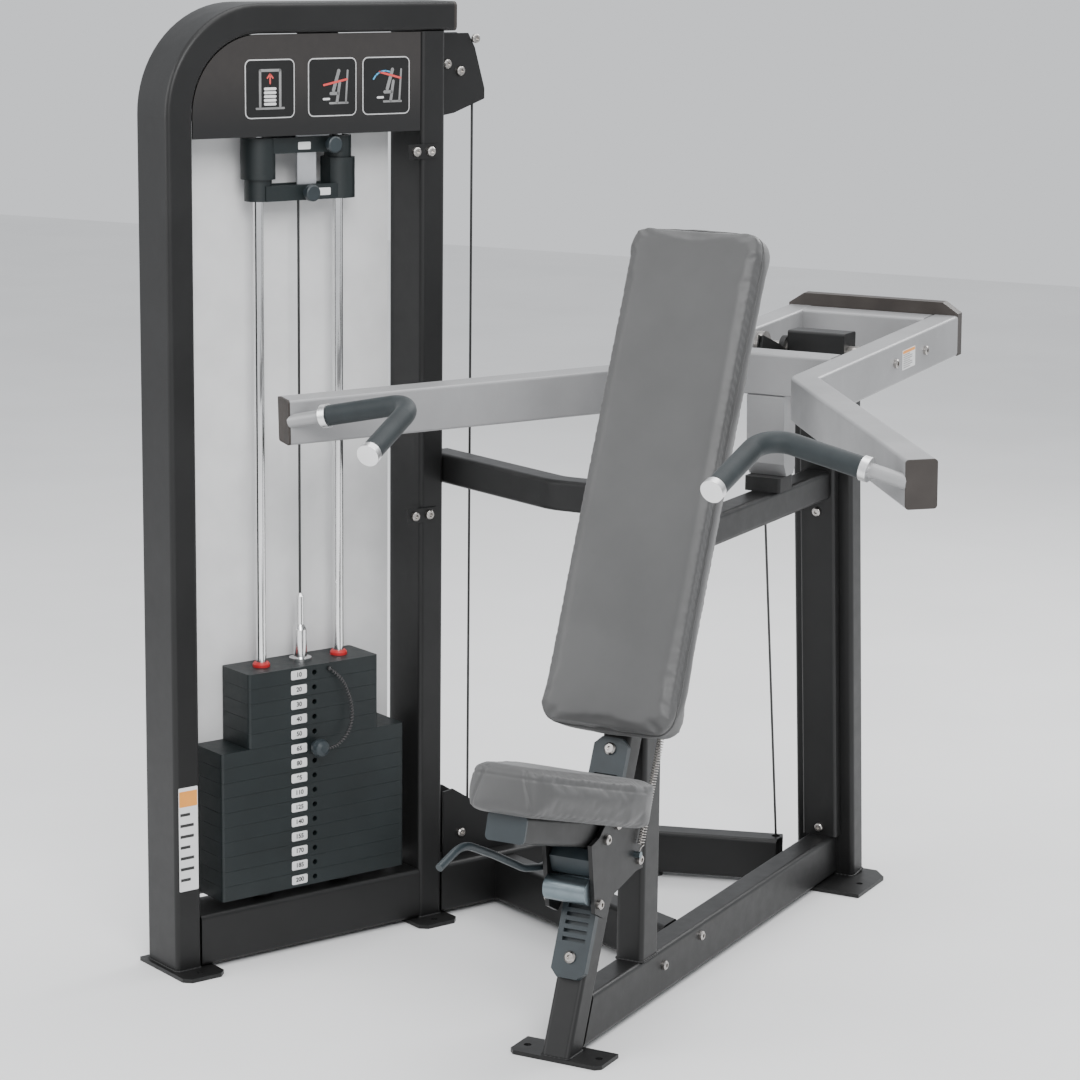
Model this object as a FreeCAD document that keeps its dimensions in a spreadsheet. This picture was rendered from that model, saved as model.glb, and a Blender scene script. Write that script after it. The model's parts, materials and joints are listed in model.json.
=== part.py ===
import FreeCAD, Part
import Sketcher
import math
import os
import re
from FreeCAD import Placement, Rotation, Vector

# Shoulder press machine: a weight-stack tower, a seat unit and a yoke-shaped press arm.
# Row frame: +Z up, +Y towards the back of the machine (the user faces -Y), +X to the user's left,
# origin on the floor at the middle of the front foot plate's front edge, on the seat unit's mid-plane.

doc = FreeCAD.newDocument("ShoulderPress")

# ---------------------------------------------------------------- driving dimensions (mm, degrees)
sizes = dict(
    # tubes and plates
    tubeWidth=56, tubeWall=3, tubeCorner=9, footThickness=8, fitGap=0.3,
    # weight tower, in its own plane
    towerX=-837, towerY=46, towerYaw=65.26, towerHeight=1840, towerLength=624, towerDepth=112,
    towerBend=175, barOverhang=20, baseHeight=110, baseLength=1172,
    footReach=50, footLength=92, footHole=7,
    # weight stack
    stackCentre=320, stackFloor=126, plateThickness=29.2, platePitch=29.6, plateDepth=100,
    narrowPlate=300, widePlate=425, narrowCount=5, plateCount=15, liftedCount=6,
    rodSpacing=180, rodRadius=10, plateBore=12, selectorRadius=12, selectorBore=14,
    pinRadius=4.5, pinBore=5.2, bumperRadius=19,
    # add-on weights parked on the guide rods under the sign, and the bar that holds the rods' tops
    addonBase=1471, addonShort=41, addonTall=77, addonWeb=29, shortBossRadius=26, tallBossRadius=33,
    webDepth=56, webWall=11, webOpening=128, upperKnobOffset=50, rodBarBase=1627, rodBarHeight=10,
    holderWall=5, holderGap=8, holderWidth=42, holderLeft=10, holderTopWidth=74, holderTopLeft=12,
    barDepth=60, barCableHole=9, signBottom=1595, clipLow=840, clipHigh=1555,
    knobStem=8, knobStemLength=13, knobRadius=15.5, knobFace=13, knobLength=27, knobGap=0.4,
    # pulleys and drive cable
    pulleyRadius=45, pulleyRim=52, pulleyWidth=14, grooveGap=0.6, axleRadius=6, cableRadius=2.5,
    topPulleyHeight=1705, cableDrop=728, lowPulleyHeight=100, bracketGap=9,
    camRadius=130, camWidth=12, camX=-78, camEntryY=1168,
    # floor frame and main frame
    mainHeight=90, mainFloor=10, postLean=23, postDepth=56, postTop=1300,
    columnY=300, columnDepth=70, uprightY=1258, uprightLean=5.37, uprightWidth=130, uprightDepth=56,
    faceBarWidth=75, faceBarDepth=30, frameTop=1104, beamTop=897, beamHeight=60,
    linkU=759, linkHeight=90, highLinkHeight=59.7, highLinkU=624, highLinkY=500,
    rearBarY=1168, rearBarTurn=16.2,
    # press arm
    pivotY=1150, pivotZ=1142, armTilt=2.7, armTube=55, armHeight=84, armX=163,
    armFront=-472, armRear=278, armSpread=52, armLength=739, armBend=42,
    frontBarY=-280, plateBehind=24, housingWidth=124, housingDepth=60, housingHeight=80,
    shaftRadius=15, shaftFit=0.05, flangeRadius=32, flangeWidth=12,
    bracketWidth=80, bracketDrop=161,
    # handles
    handleX=340, handleY=92, handleZ=1150, handleRootX=600, handleRootY=86, handleRootZ=1094,
    handleEndX=328, handleEndY=-91, handleEndZ=1084, handleRadius=12.7, handleWall=2.5,
    gripRadius=19, gripStart=84, gripEnd=8, gripBend=52, collarRadius=21.5, collarWidth=14, capRadius=20.5,
    # back pad and seat
    padWidth=272, padLength=948, padBottom=594, padThickness=60, boardThickness=12,
    rackWidth=68, rackThickness=14, rackBottom=150, rackTop=590, rackPitch=15,
    seatY=-182, seatZ=483, seatTilt=16, seatTubeWidth=76, seatTubeHeight=50, seatTubeLength=318,
    seatPadThickness=70, seatPadLength=330, seatPadFront=126, seatPadRear=304, seatBoard=8,
    seatPadNose=45, seatPadTaper=8, seatPadWaist=0.72, boardShare=0.8, boardSetback=20,
    carriageGap=42, carriagePlate=8, latchY=52, latchZ=308, latchRadius=23,
    leverRadius=7, leverX=58.5, leverPivotY=120, leverPivotZ=338, rollerRadius=14, rollerGap=0.4,
    springX=58.5, springY=66, springRadius=7, springTop=650, springStud=394,
    # fasteners
    boltRadius=9, boltHead=7,
)

sheet = doc.addObject("Spreadsheet::Sheet", "Sizes")
for row, (alias, value) in enumerate(sizes.items(), start=1):
    sheet.set("A%d" % row, alias)
    sheet.set("B%d" % row, str(value))
    sheet.setAlias("B%d" % row, alias)
doc.recompute()


class Size:
    """Values read back from the spreadsheet by name."""

    def __getattr__(self, alias):
        return float(sheet.get(alias))


s = Size()
subParts = []


# ---------------------------------------------------------------- frames
def turned(axis, degrees):
    return Rotation(axis, degrees)


rowFrame = Placement()
towerFrame = Placement(Vector(s.towerX, s.towerY, 0), turned(Vector(0, 0, 1), s.towerYaw))
leanFrame = Placement(Vector(0, 0, 0), turned(Vector(1, 0, 0), -s.postLean))
armFrame = Placement(Vector(0, s.pivotY, s.pivotZ), turned(Vector(1, 0, 0), s.armTilt))
seatFrame = Placement(Vector(0, s.seatY, s.seatZ), turned(Vector(1, 0, 0), -s.seatTilt))
uprightFrame = Placement(Vector(0, s.uprightY, 0), turned(Vector(1, 0, 0), s.uprightLean))
rearBarFrame = Placement(Vector(-s.uprightWidth / 2, s.rearBarY, s.mainFloor),
                         turned(Vector(0, 0, 1), 180 + s.rearBarTurn))

# axis directions for pieces that are drawn along their own Z
alongX = turned(Vector(0, 1, 0), 90)
alongY = turned(Vector(1, 0, 0), -90)
facingMinusY = turned(Vector(1, 0, 0), 90)


def at(x, y, z, rotation=Rotation()):
    return Placement(Vector(x, y, z), rotation)


def keep(piece):
    """List a finished sub-part, so that it is checked and exported."""
    subParts.append(piece)
    return piece


def bind(piece, **properties):
    """Tie properties of an object to expressions of the spreadsheet."""
    for name, expression in properties.items():
        piece.setExpression(name, expression)


def cells(expression):
    """Put the sheet's name before each alias of an expression."""
    return re.sub(r"[A-Za-z]\w*", lambda word: sheetName(word.group()), str(expression))


def sheetName(word):
    return "Sizes." + word if word in sizes else word


# ---------------------------------------------------------------- ways of making a piece
def newSketch(body, role):
    sketch = body.newObject("Sketcher::SketchObject", "Sketch")
    plane = [feature for feature in body.Origin.OriginFeatures if feature.Role == role][0]
    sketch.AttachmentSupport = (plane, "")
    sketch.MapMode = "FlatFace"
    return sketch


def tie(sketch, kind, element, point, datum, expression):
    """Constrain a point's distance from the sketch's origin to an expression of the sheet."""
    index = sketch.addConstraint(Sketcher.Constraint(kind, -1, 1, element, point, datum))
    sketch.setExpression("Constraints[%d]" % index, cells(expression))


def drawOutline(sketch, corners):
    """Closed outline of straight lines, its corners tied to the sheet; the solver moves them there."""
    count = len(corners)
    first = sketch.GeometryCount
    start = [Vector(math.cos(2 * math.pi * i / count), math.sin(2 * math.pi * i / count), 0)
             for i in range(count)]
    for i in range(count):
        sketch.addGeometry(Part.LineSegment(start[i], start[(i + 1) % count]), False)
    for i in range(count):
        sketch.addConstraint(Sketcher.Constraint("Coincident", first + i, 2, first + (i + 1) % count, 1))
    for i, (x, y) in enumerate(corners):
        tie(sketch, "DistanceX", first + i, 1, start[i].x, x)
        tie(sketch, "DistanceY", first + i, 1, start[i].y, y)


def drawCircle(sketch, x, y, radius):
    index = sketch.addGeometry(Part.Circle(Vector(1, 1, 0), Vector(0, 0, 1), 1), False)
    tie(sketch, "DistanceX", index, 3, 1, x)
    tie(sketch, "DistanceY", index, 3, 1, y)
    radiusIndex = sketch.addConstraint(Sketcher.Constraint("Radius", index, 1))
    sketch.setExpression("Constraints[%d]" % radiusIndex, cells(radius))


def rectangle(width, depth, x="0", y="0"):
    """Corners of a rectangle centred on x, y."""
    return [("%s - (%s) / 2" % (x, width), "%s - (%s) / 2" % (y, depth)),
            ("%s + (%s) / 2" % (x, width), "%s - (%s) / 2" % (y, depth)),
            ("%s + (%s) / 2" % (x, width), "%s + (%s) / 2" % (y, depth)),
            ("%s - (%s) / 2" % (x, width), "%s + (%s) / 2" % (y, depth))]


def roundEdges(body, feature, direction, radius, count):
    """Fillet the outermost edges that run along a direction."""
    doc.recompute()
    edges = []
    for number, edge in enumerate(feature.Shape.Edges, start=1):
        if edge.Curve.TypeId == "Part::GeomLine":
            along = (edge.Vertexes[-1].Point - edge.Vertexes[0].Point).normalize()
            if abs(abs(along.dot(direction)) - 1) < 1e-6:
                middle = edge.CenterOfMass - feature.Shape.BoundBox.Center
                reach = (middle - direction * middle.dot(direction)).Length
                edges.append((-round(reach, 3), number))
    chosen = ["Edge%d" % number for reach, number in sorted(edges)[:count]]
    fillet = body.newObject("PartDesign::Fillet", "Rounding")
    fillet.Base = (feature, chosen)
    bind(fillet, Radius=cells(radius))
    return fillet


def prism(label, role, outline, length, placement, inner=(), holes=(), rounding=None, rounded=4):
    """Pad of a tied outline, with inner outlines and round holes right through."""
    body = doc.addObject("PartDesign::Body", label)
    sketch = newSketch(body, role)
    drawOutline(sketch, outline)
    for hollow in inner:
        drawOutline(sketch, hollow)
    for x, y, radius in holes:
        drawCircle(sketch, x, y, radius)
    pad = body.newObject("PartDesign::Pad", "Pad")
    pad.Profile = sketch
    bind(pad, Length=cells(length))
    if rounding:
        directions = dict(XY_Plane=Vector(0, 0, 1), XZ_Plane=Vector(0, 1, 0), YZ_Plane=Vector(1, 0, 0))
        roundEdges(body, pad, directions[role], rounding, rounded)
    body.Placement = placement
    body.Label = label
    return body


def boxTube(label, width, depth, length, placement, wall="tubeWall", rounding="tubeCorner"):
    """Hollow rectangular tube along its own Z, with its outer corners rounded."""
    inside = rectangle("%s - 2 * %s" % (width, wall), "%s - 2 * %s" % (depth, wall))
    return prism(label, "XY_Plane", rectangle(width, depth), length, placement, [inside], (), rounding)


def lathe(label, profile, placement, angle="360"):
    """Revolution about the piece's own Z of a profile given as radius and height."""
    body = doc.addObject("PartDesign::Body", label)
    sketch = newSketch(body, "XZ_Plane")
    drawOutline(sketch, profile)
    revolution = body.newObject("PartDesign::Revolution", "Revolution")
    revolution.Profile = sketch
    revolution.ReferenceAxis = (sketch, ["V_Axis"])
    bind(revolution, Angle=cells(angle))
    body.Placement = placement
    body.Label = label
    return body


def disc(label, radius, height, placement, bore=None):
    """Round piece along its own Z, with a bore if one is given."""
    inside = bore if bore else "0"
    return lathe(label, [(inside, "0"), (radius, "0"), (radius, height), (inside, height)], placement)


def solidBox(name, width, depth, height, placement):
    """Helper block centred on its placement in X and Y, used to cut other pieces."""
    block = doc.addObject("Part::Box", name)
    bind(block, Length=cells(width), Width=cells(depth), Height=cells(height))
    block.Placement = placement * at(-value(block, "Length") / 2, -value(block, "Width") / 2, 0)
    return block


def value(piece, name):
    doc.recompute([piece])
    return getattr(piece, name).Value


def trimmed(label, piece, *tools):
    """Cut a piece by helper solids, as a mitred or slotted end."""
    for number, tool in enumerate(tools):
        cut = doc.addObject("Part::Cut", "%s_cut_%d" % (label, number))
        cut.Base = piece
        cut.Tool = tool
        piece = cut
    piece.Label = label
    return piece


def solid(label, shape, placement=rowFrame):
    """Piece whose shape comes from Part's own functions, with sizes read from the sheet."""
    feature = doc.addObject("Part::Feature", label)
    feature.Shape = shape
    feature.Placement = placement
    feature.Label = label
    return feature


def group(label, piece, placements):
    """Separate equal solids in one node, copied from one piece."""
    doc.recompute()
    copies = []
    for placement in placements:
        copy = piece.Shape.copy()
        copy.Placement = placement * piece.Placement
        copies.append(copy)
    return solid(label, Part.makeCompound(copies))


def joined(label, *pieces):
    """One node that holds several separate solids."""
    doc.recompute()
    return keep(solid(label, Part.makeCompound([piece.Shape for piece in pieces])))


def fused(label, piece, tool):
    """Two welded pieces as one solid."""
    fuse = doc.addObject("Part::Fuse", label)
    fuse.Base = piece
    fuse.Tool = tool
    fuse.Label = label
    return fuse


def bentPath(points, radii):
    """Wire of straight runs joined by tangent arcs of the given radii."""
    edges = []
    start = points[0]
    for before, corner, after, radius in zip(points, points[1:], points[2:], radii):
        backward = (before - corner).normalize()
        forward = (after - corner).normalize()
        half = backward.getAngle(forward) / 2
        reach = radius / math.tan(half)
        towardCentre = (backward + forward).normalize()
        middle = corner + towardCentre * (radius / math.sin(half) - radius)
        arcStart = corner + backward * reach
        arcEnd = corner + forward * reach
        edges.append(Part.LineSegment(start, arcStart).toShape())
        edges.append(Part.Arc(arcStart, middle, arcEnd).toShape())
        start = arcEnd
    edges.append(Part.LineSegment(start, points[-1]).toShape())
    return Part.Wire(edges)


def roundSweep(path, radius):
    """Solid of a circle swept along a wire."""
    edge = path.Edges[0]
    start = edge.valueAt(edge.FirstParameter)
    direction = edge.tangentAt(edge.FirstParameter)
    ring = Part.Wire(Part.Circle(start, direction, radius).toShape())
    return path.makePipeShell([ring], True, False)


def roundedSection(width, depth, corner, placement):
    """Rectangle with rounded corners about its centre, as a wire."""
    plate = Part.makeBox(width, depth, 1, Vector(-width / 2, -depth / 2, 0))
    if corner > 0:
        upright = [edge for edge in plate.Edges if abs(edge.tangentAt(edge.FirstParameter).z) > 0.5]
        plate = plate.makeFillet(corner, upright)
    wire = [face for face in plate.Faces if face.normalAt(0, 0).z < -0.5][0].OuterWire
    wire.Placement = placement
    return wire


def bentBoxTube(path, width, depth, wall, corner, placement):
    """Hollow rectangular tube along a bent path; placement sets its section at the start."""
    outer = path.makePipeShell([roundedSection(width, depth, corner, placement)], True, False)
    inside = roundedSection(width - 2 * wall, depth - 2 * wall, max(corner - wall, 0.5), placement)
    return outer.cut(path.makePipeShell([inside], True, False))


# ---------------------------------------------------------------- weight tower
midDepth = s.towerDepth / 2
postHeight = s.towerHeight - s.tubeWidth - s.footThickness
halfTube = s.tubeWidth / 2
barEnd = s.towerLength + s.barOverhang

# one bent tube: front post, outer bend and top bar
archPath = bentPath([Vector(halfTube, midDepth, s.footThickness),
                     Vector(halfTube, midDepth, s.towerHeight - halfTube),
                     Vector(barEnd, midDepth, s.towerHeight - halfTube)], [s.towerBend])
arch = bentBoxTube(archPath, s.tubeWidth, s.towerDepth, s.tubeWall, s.tubeCorner,
                   at(halfTube, midDepth, s.footThickness))
keep(solid("tower_arch", arch, towerFrame))

rearPost = boxTube("rear_post_tube", "tubeWidth", "towerDepth", "towerHeight - tubeWidth - footThickness",
                   towerFrame * at(s.towerLength - halfTube, midDepth, s.footThickness))
cableSlot = solidBox("cable_slot", "tubeWidth + 20", "pulleyWidth + 8", "44",
                     towerFrame * at(s.towerLength - halfTube, midDepth,
                                     s.topPulleyHeight + s.pulleyRadius - 22))
keep(trimmed("tower_rear_post", rearPost, cableSlot))

alongTower = turned(Vector(0, 1, 0), 90)
baseSpan = "towerLength - 2 * tubeWidth"
baseTube = boxTube("tower_base", "baseHeight - footThickness", "towerDepth", baseSpan,
                   towerFrame * at(s.tubeWidth, midDepth, (s.baseHeight + s.footThickness) / 2, alongTower))
sideBase = boxTube("side_tube", "baseHeight - footThickness", "towerDepth", "baseLength - towerLength",
                   towerFrame * at(s.towerLength, midDepth, (s.baseHeight + s.footThickness) / 2, alongTower))
lowPulleyU = s.cableDrop + s.pulleyRadius
pulleySlot = solidBox("pulley_slot", "2 * pulleyRim + 16", "pulleyWidth + 8", "60",
                      towerFrame * at(lowPulleyU, midDepth, s.baseHeight - 40))
joined("tower_base_tubes", baseTube, trimmed("side_base", sideBase, pulleySlot))

# foot plates under the tower's corners, each with an anchor hole towards the seat
footCentre = s.footLength / 2 - s.footReach * 0.2
towerFootPlate = prism("tower_foot_pattern", "XY_Plane",
                       [("-footLength / 2", "-footReach + 14"), ("-footLength / 2 + 14", "-footReach"),
                        ("footLength / 2 - 14", "-footReach"), ("footLength / 2", "-footReach + 14"),
                        ("footLength / 2", "towerDepth + 12"), ("-footLength / 2", "towerDepth + 12")],
                       "footThickness", rowFrame, (), [("0", "-footReach + 26", "footHole")])
footPlaces = [footCentre, s.towerLength - footCentre, s.baseLength - footCentre]
towerFeet = group("tower_feet", towerFootPlate, [towerFrame * at(u, 0, 0) for u in footPlaces])

# guide rods, from the base tube up into the rod bar, and the rubber bumpers under the stack
stackRods = [s.stackCentre - s.rodSpacing / 2, s.stackCentre + s.rodSpacing / 2]
rod = disc("rod_pattern", "rodRadius", "rodBarBase + rodBarHeight - baseHeight", rowFrame)
keep(group("guide_rods", rod, [towerFrame * at(u, midDepth, s.baseHeight) for u in stackRods]))
bumper = disc("bumper_pattern", "bumperRadius", "stackFloor - baseHeight - fitGap", rowFrame,
              "rodRadius + fitGap")
stackBumpers = group("stack_bumpers", bumper, [towerFrame * at(u, midDepth, s.baseHeight) for u in stackRods])


def weightPlate(name, width):
    """One plate with its two guide bores, the centre bore and the selector pin's cross hole."""
    half = "(%s) / 2" % width
    bores = [("-rodSpacing / 2", "0", "plateBore"), ("rodSpacing / 2", "0", "plateBore"),
             ("0", "0", "selectorBore")]
    plate = prism(name + "_plate", "XY_Plane", rectangle(width, "plateDepth"), "plateThickness", rowFrame,
                  (), bores, "6")
    hole = doc.addObject("Part::Cylinder", name + "_pin_hole")
    bind(hole, Radius=cells("pinBore"), Height=cells("plateDepth / 2"))
    hole.Placement = at(0, 0, s.plateThickness / 2, facingMinusY)
    return trimmed(name, plate, hole)


narrowPattern = weightPlate("narrow_pattern", "narrowPlate")
widePattern = weightPlate("wide_pattern", "widePlate")
plateCount = int(s.plateCount)
liftedCount = int(s.liftedCount)
narrowCount = int(s.narrowCount)


def plateBase(number):
    """Height of a plate's underside; plate 1 is at the top."""
    return s.stackFloor + (plateCount - number) * s.platePitch


def plateGroup(label, numbers):
    doc.recompute()
    shapes = []
    for number in numbers:
        pattern = narrowPattern if number <= narrowCount else widePattern
        shape = pattern.Shape.copy()
        shape.Placement = towerFrame * at(s.stackCentre, midDepth, plateBase(number)) * pattern.Placement
        shapes.append(shape)
    return keep(solid(label, Part.makeCompound(shapes)))


plateGroup("resting_plates", range(liftedCount + 1, plateCount + 1))
plateGroup("lifted_plates", range(1, liftedCount + 1))

# selector rod through the lifted plates, with the cable's end fitting on top
rodBottom = plateBase(liftedCount)
stackTop = s.stackFloor + plateCount * s.platePitch - s.platePitch + s.plateThickness
fittingBase = "(liftedCount - 1) * platePitch + plateThickness + fitGap"
selectorRod = lathe("selector_tube",
                    [("0", "0"), ("selectorRadius", "0"), ("selectorRadius", fittingBase),
                     ("22", fittingBase), ("22", "liftedCount * platePitch + 6"),
                     ("13", "liftedCount * platePitch + 8"), ("13", "liftedCount * platePitch + 62"),
                     ("8", "liftedCount * platePitch + 72"), ("8", "liftedCount * platePitch + 128"),
                     ("cableRadius", "liftedCount * platePitch + 134"),
                     ("0", "liftedCount * platePitch + 134")],
                    towerFrame * at(s.stackCentre, midDepth, rodBottom))
selectorHole = doc.addObject("Part::Cylinder", "selector_pin_hole")
bind(selectorHole, Radius=cells("pinBore"), Height=cells("plateDepth"))
selectorHole.Placement = towerFrame * at(s.stackCentre, midDepth + s.plateDepth / 2,
                                         rodBottom + s.plateThickness / 2, facingMinusY)
keep(trimmed("selector_rod", selectorRod, selectorHole))
bush = lathe("bush_pattern", [("rodRadius + 0.06", "-16"), ("plateBore - 0.1", "-16"),
                              ("plateBore - 0.1", "0"), ("17", "0"), ("17", "5"), ("14", "9"),
                              ("rodRadius + 0.06", "9")], rowFrame)
keep(group("rod_bushes", bush, [towerFrame * at(u, midDepth, stackTop + 0.1) for u in stackRods]))

# selector pin: steel pin with a moulded knob, in the sixth plate
pinHeight = plateBase(liftedCount) + s.plateThickness / 2
plateFace = midDepth - s.plateDepth / 2
pinFrame = towerFrame * at(s.stackCentre, plateFace, pinHeight, facingMinusY)
pinReach = s.plateDepth / 2 + s.selectorRadius - 4
keep(disc("selector_pin", "pinRadius", "plateDepth / 2 + selectorRadius - 4", pinFrame * at(0, 0, -pinReach)))
keep(lathe("pin_knob", [("0", "0.4"), ("9", "0.4"), ("9", "6"), ("16", "12"), ("18", "20"), ("15", "30"),
                        ("8", "34"), ("0", "35")], pinFrame))

# curly cord from the head plate's corner down to the pin's knob
cordPoints = [Vector(s.stackCentre + x, plateFace - y, z) for x, y, z in
              [(34, 4, stackTop - 12), (52, 11, stackTop - 27), (66, 14, stackTop - 52),
               (77, 14, stackTop - 82), (80, 15, stackTop - 112), (71, 17, stackTop - 139),
               (54, 18, stackTop - 157), (35, 20, stackTop - 167), (18, 20, pinHeight - 4)]]
cordRadii = []
for before, corner, after in zip(cordPoints, cordPoints[1:], cordPoints[2:]):
    turn = math.pi - (before - corner).getAngle(after - corner)
    run = min((corner - before).Length, (after - corner).Length)
    cordRadii.append(0.45 * run / math.tan(turn / 2))
cordPath = bentPath(cordPoints, cordRadii)
cordSolid = roundSweep(cordPath, 3.5)
print("curly cord radii", [round(radius, 1) for radius in cordRadii], "length", round(cordPath.Length, 1),
      "volume ratio", round(cordSolid.Volume / (math.pi * 3.5 ** 2 * cordPath.Length), 3))
keep(solid("curly_cord", cordSolid, towerFrame))

# two add-on weights parked on the guide rods, each with a spring-loaded pull knob
def addonWeight():
    """Frame with a short and a tall boss around the guide rods, joined by a front and a rear web."""
    reach = s.rodSpacing / 2
    shape = Part.makeCylinder(s.shortBossRadius, s.addonShort, Vector(-reach, 0, 0))
    shape = shape.fuse(Part.makeCylinder(s.tallBossRadius, s.addonTall, Vector(reach, 0, 0)))
    shape = shape.fuse(Part.makeBox(2 * reach, s.webDepth, s.addonWeb, Vector(-reach, -s.webDepth / 2, 0)))
    gap = s.webDepth - 2 * s.webWall
    shape = shape.cut(Part.makeBox(s.webOpening, gap, s.addonTall, Vector(-s.webOpening / 2, -gap / 2, 0)))
    for side in (-1, 1):
        shape = shape.cut(Part.makeCylinder(s.plateBore, s.addonTall, Vector(side * reach, 0, 0)))
    return shape.removeSplitter()


def knobBore(across, height):
    """Clearance bore for a knob's pin through an add-on weight's front web."""
    return Part.makeCylinder(s.pinBore, s.webWall + 2, Vector(across, -s.webDepth / 2 - 1, height), Vector(0, 1, 0))


addonTop = s.addonBase + s.addonShort + s.addonTall + s.fitGap
addonPlace = towerFrame * at(s.stackCentre, midDepth, s.addonBase)
upsideDown = at(0, 0, addonTop - s.addonBase, turned(Vector(0, 1, 0), 180))
lowerKnobHeight = s.addonWeb / 2
upperKnobHeight = addonTop - s.addonBase - s.addonWeb / 2
lowerWeight = addonWeight().cut(knobBore(0, lowerKnobHeight))
keep(solid("addon_weight_lower", lowerWeight, addonPlace))
upperWeight = addonWeight()
upperWeight.Placement = upsideDown
keep(solid("addon_weight_upper", upperWeight.cut(knobBore(s.upperKnobOffset, upperKnobHeight)), addonPlace))
knobProfile = [("0", "holderGap + holderWall + fitGap - webDepth / 2"),
               ("pinRadius", "holderGap + holderWall + fitGap - webDepth / 2"),
               ("pinRadius", "knobGap"), ("knobStem", "knobGap"), ("knobStem", "knobStemLength"),
               ("knobRadius", "knobStemLength + 2"), ("knobRadius", "knobLength - 2"),
               ("knobFace", "knobLength"), ("0", "knobLength")]
knobPlaces = dict(addon_knob_lower=(0, lowerKnobHeight),
                  addon_knob_upper=(s.upperKnobOffset, upperKnobHeight))
for label, (across, height) in knobPlaces.items():
    keep(lathe(label, knobProfile, addonPlace * at(across, -s.webDepth / 2, height, facingMinusY)))

# bar across the tower that holds the rods' tops, with the welded holder plate for the add-on weights
barPlate = Part.makeBox(s.towerLength - 2 * s.tubeWidth, s.barDepth, s.rodBarHeight,
                        Vector(s.tubeWidth - s.stackCentre, -s.barDepth / 2, s.rodBarBase - s.addonBase))
for across in (-s.rodSpacing / 2, s.rodSpacing / 2):
    barPlate = barPlate.cut(Part.makeCylinder(s.rodRadius + s.fitGap, 400, Vector(across, 0, 0)))
barPlate = barPlate.cut(Part.makeCylinder(s.barCableHole, 400))
holderFront = -s.holderGap - s.holderWall
stripTop = s.rodBarBase - s.addonBase
stripBase = upperKnobHeight - s.addonWeb / 2 + 0.5
holder = Part.makeBox(s.holderWidth, s.holderWall, stripTop - 2, Vector(-s.holderLeft, holderFront, 2))
holder = holder.fuse(Part.makeBox(s.holderTopWidth, s.holderWall, stripTop - stripBase,
                                  Vector(-s.holderTopLeft, holderFront, stripBase)))
holder = holder.fuse(barPlate).removeSplitter()
for across, height in knobPlaces.values():
    holder = holder.cut(Part.makeCylinder(s.pinBore, 30, Vector(across, -30, height), Vector(0, 1, 0)))
keep(solid("addon_holder", holder, addonPlace))

# pulleys: two at the top, one low down beside the rear post
grooveFloor = "pulleyRadius - cableRadius - grooveGap"
pulleyProfile = [("axleRadius + 0.05", "-pulleyWidth / 2"), ("pulleyRim", "-pulleyWidth / 2"),
                 ("pulleyRim", "-pulleyWidth / 2 + 2"), (grooveFloor, "-cableRadius - 1"),
                 (grooveFloor, "cableRadius + 1"), ("pulleyRim", "pulleyWidth / 2 - 2"),
                 ("pulleyRim", "pulleyWidth / 2"), ("axleRadius + 0.05", "pulleyWidth / 2")]
frontPulleyU = s.stackCentre + s.pulleyRadius
rearPulleyU = s.cableDrop - s.pulleyRadius
pulleyPlaces = dict(top_pulley_front=(frontPulleyU, s.topPulleyHeight),
                    top_pulley_rear=(rearPulleyU, s.topPulleyHeight),
                    low_pulley=(lowPulleyU, s.lowPulleyHeight))
for label, (u, height) in pulleyPlaces.items():
    keep(lathe(label, pulleyProfile, towerFrame * at(u, midDepth, height, facingMinusY)))

# hanger, brackets and axles that hold the pulleys
cheek = s.pulleyWidth / 2 + s.bracketGap
frontHanger = prism("front_hanger_pattern", "XZ_Plane",
                    [("-24", "-26"), ("24", "-26"), ("34", "towerHeight - tubeWidth - topPulleyHeight"),
                     ("-34", "towerHeight - tubeWidth - topPulleyHeight")],
                    "4", rowFrame, (), [("0", "0", "axleRadius")])
frontHangers = group("front_pulley_hangers", frontHanger,
                     [towerFrame * at(frontPulleyU, midDepth + y, s.topPulleyHeight) for y in (-cheek, cheek + 4)])
topBracket = prism("top_bracket_pattern", "XZ_Plane",
                   [("-54", "-87"), ("-14", "-81"), ("60", "-55"), ("60", "-35"), ("36", "45"),
                    ("20", "73"), ("-54", "73")],
                   "5", rowFrame, (), [("0", "0", "axleRadius")], "3", 7)
topBrackets = group("top_pulley_brackets", topBracket,
                    [towerFrame * at(rearPulleyU, midDepth + y, s.topPulleyHeight) for y in (-cheek, cheek + 5)])
lowBracket = prism("low_bracket_pattern", "XZ_Plane",
                   [("-120", "baseHeight - lowPulleyHeight + fitGap"), ("-120", "150"), ("-96", "153"),
                    ("40", "66"), ("64", "30"), ("64", "baseHeight - lowPulleyHeight + fitGap")],
                   "5", rowFrame)
lowBrackets = group("low_pulley_brackets", lowBracket,
                    [towerFrame * at(lowPulleyU, midDepth + y, s.lowPulleyHeight) for y in (-cheek, cheek + 5)])
axle = disc("axle_pattern", "axleRadius", "2 * (pulleyWidth / 2 + bracketGap)", rowFrame)
pulleyAxles = group("pulley_axles", axle, [towerFrame * at(u, midDepth - cheek, height, alongY)
                                           for u, height in pulleyPlaces.values()])

# drive cable: the stretch that shortens as the stack rises, then over both pulleys and down
stackCableBottom = rodBottom + liftedCount * s.platePitch + 134
keep(disc("cable_stack_run", "cableRadius",
          "topPulleyHeight - stackFloor - plateCount * platePitch - 134",
          towerFrame * at(s.stackCentre, midDepth, stackCableBottom)))


def pulleyArc(centre, start, end):
    """Arc of the cable's line round a pulley in the tower's plane, from one direction to another."""
    points = []
    for angle in (start, (start + end) / 2, end):
        turn = math.radians(angle)
        points.append(centre + Vector(math.cos(turn), 0, math.sin(turn)) * s.pulleyRadius)
    return Part.Arc(*points).toShape()


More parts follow.
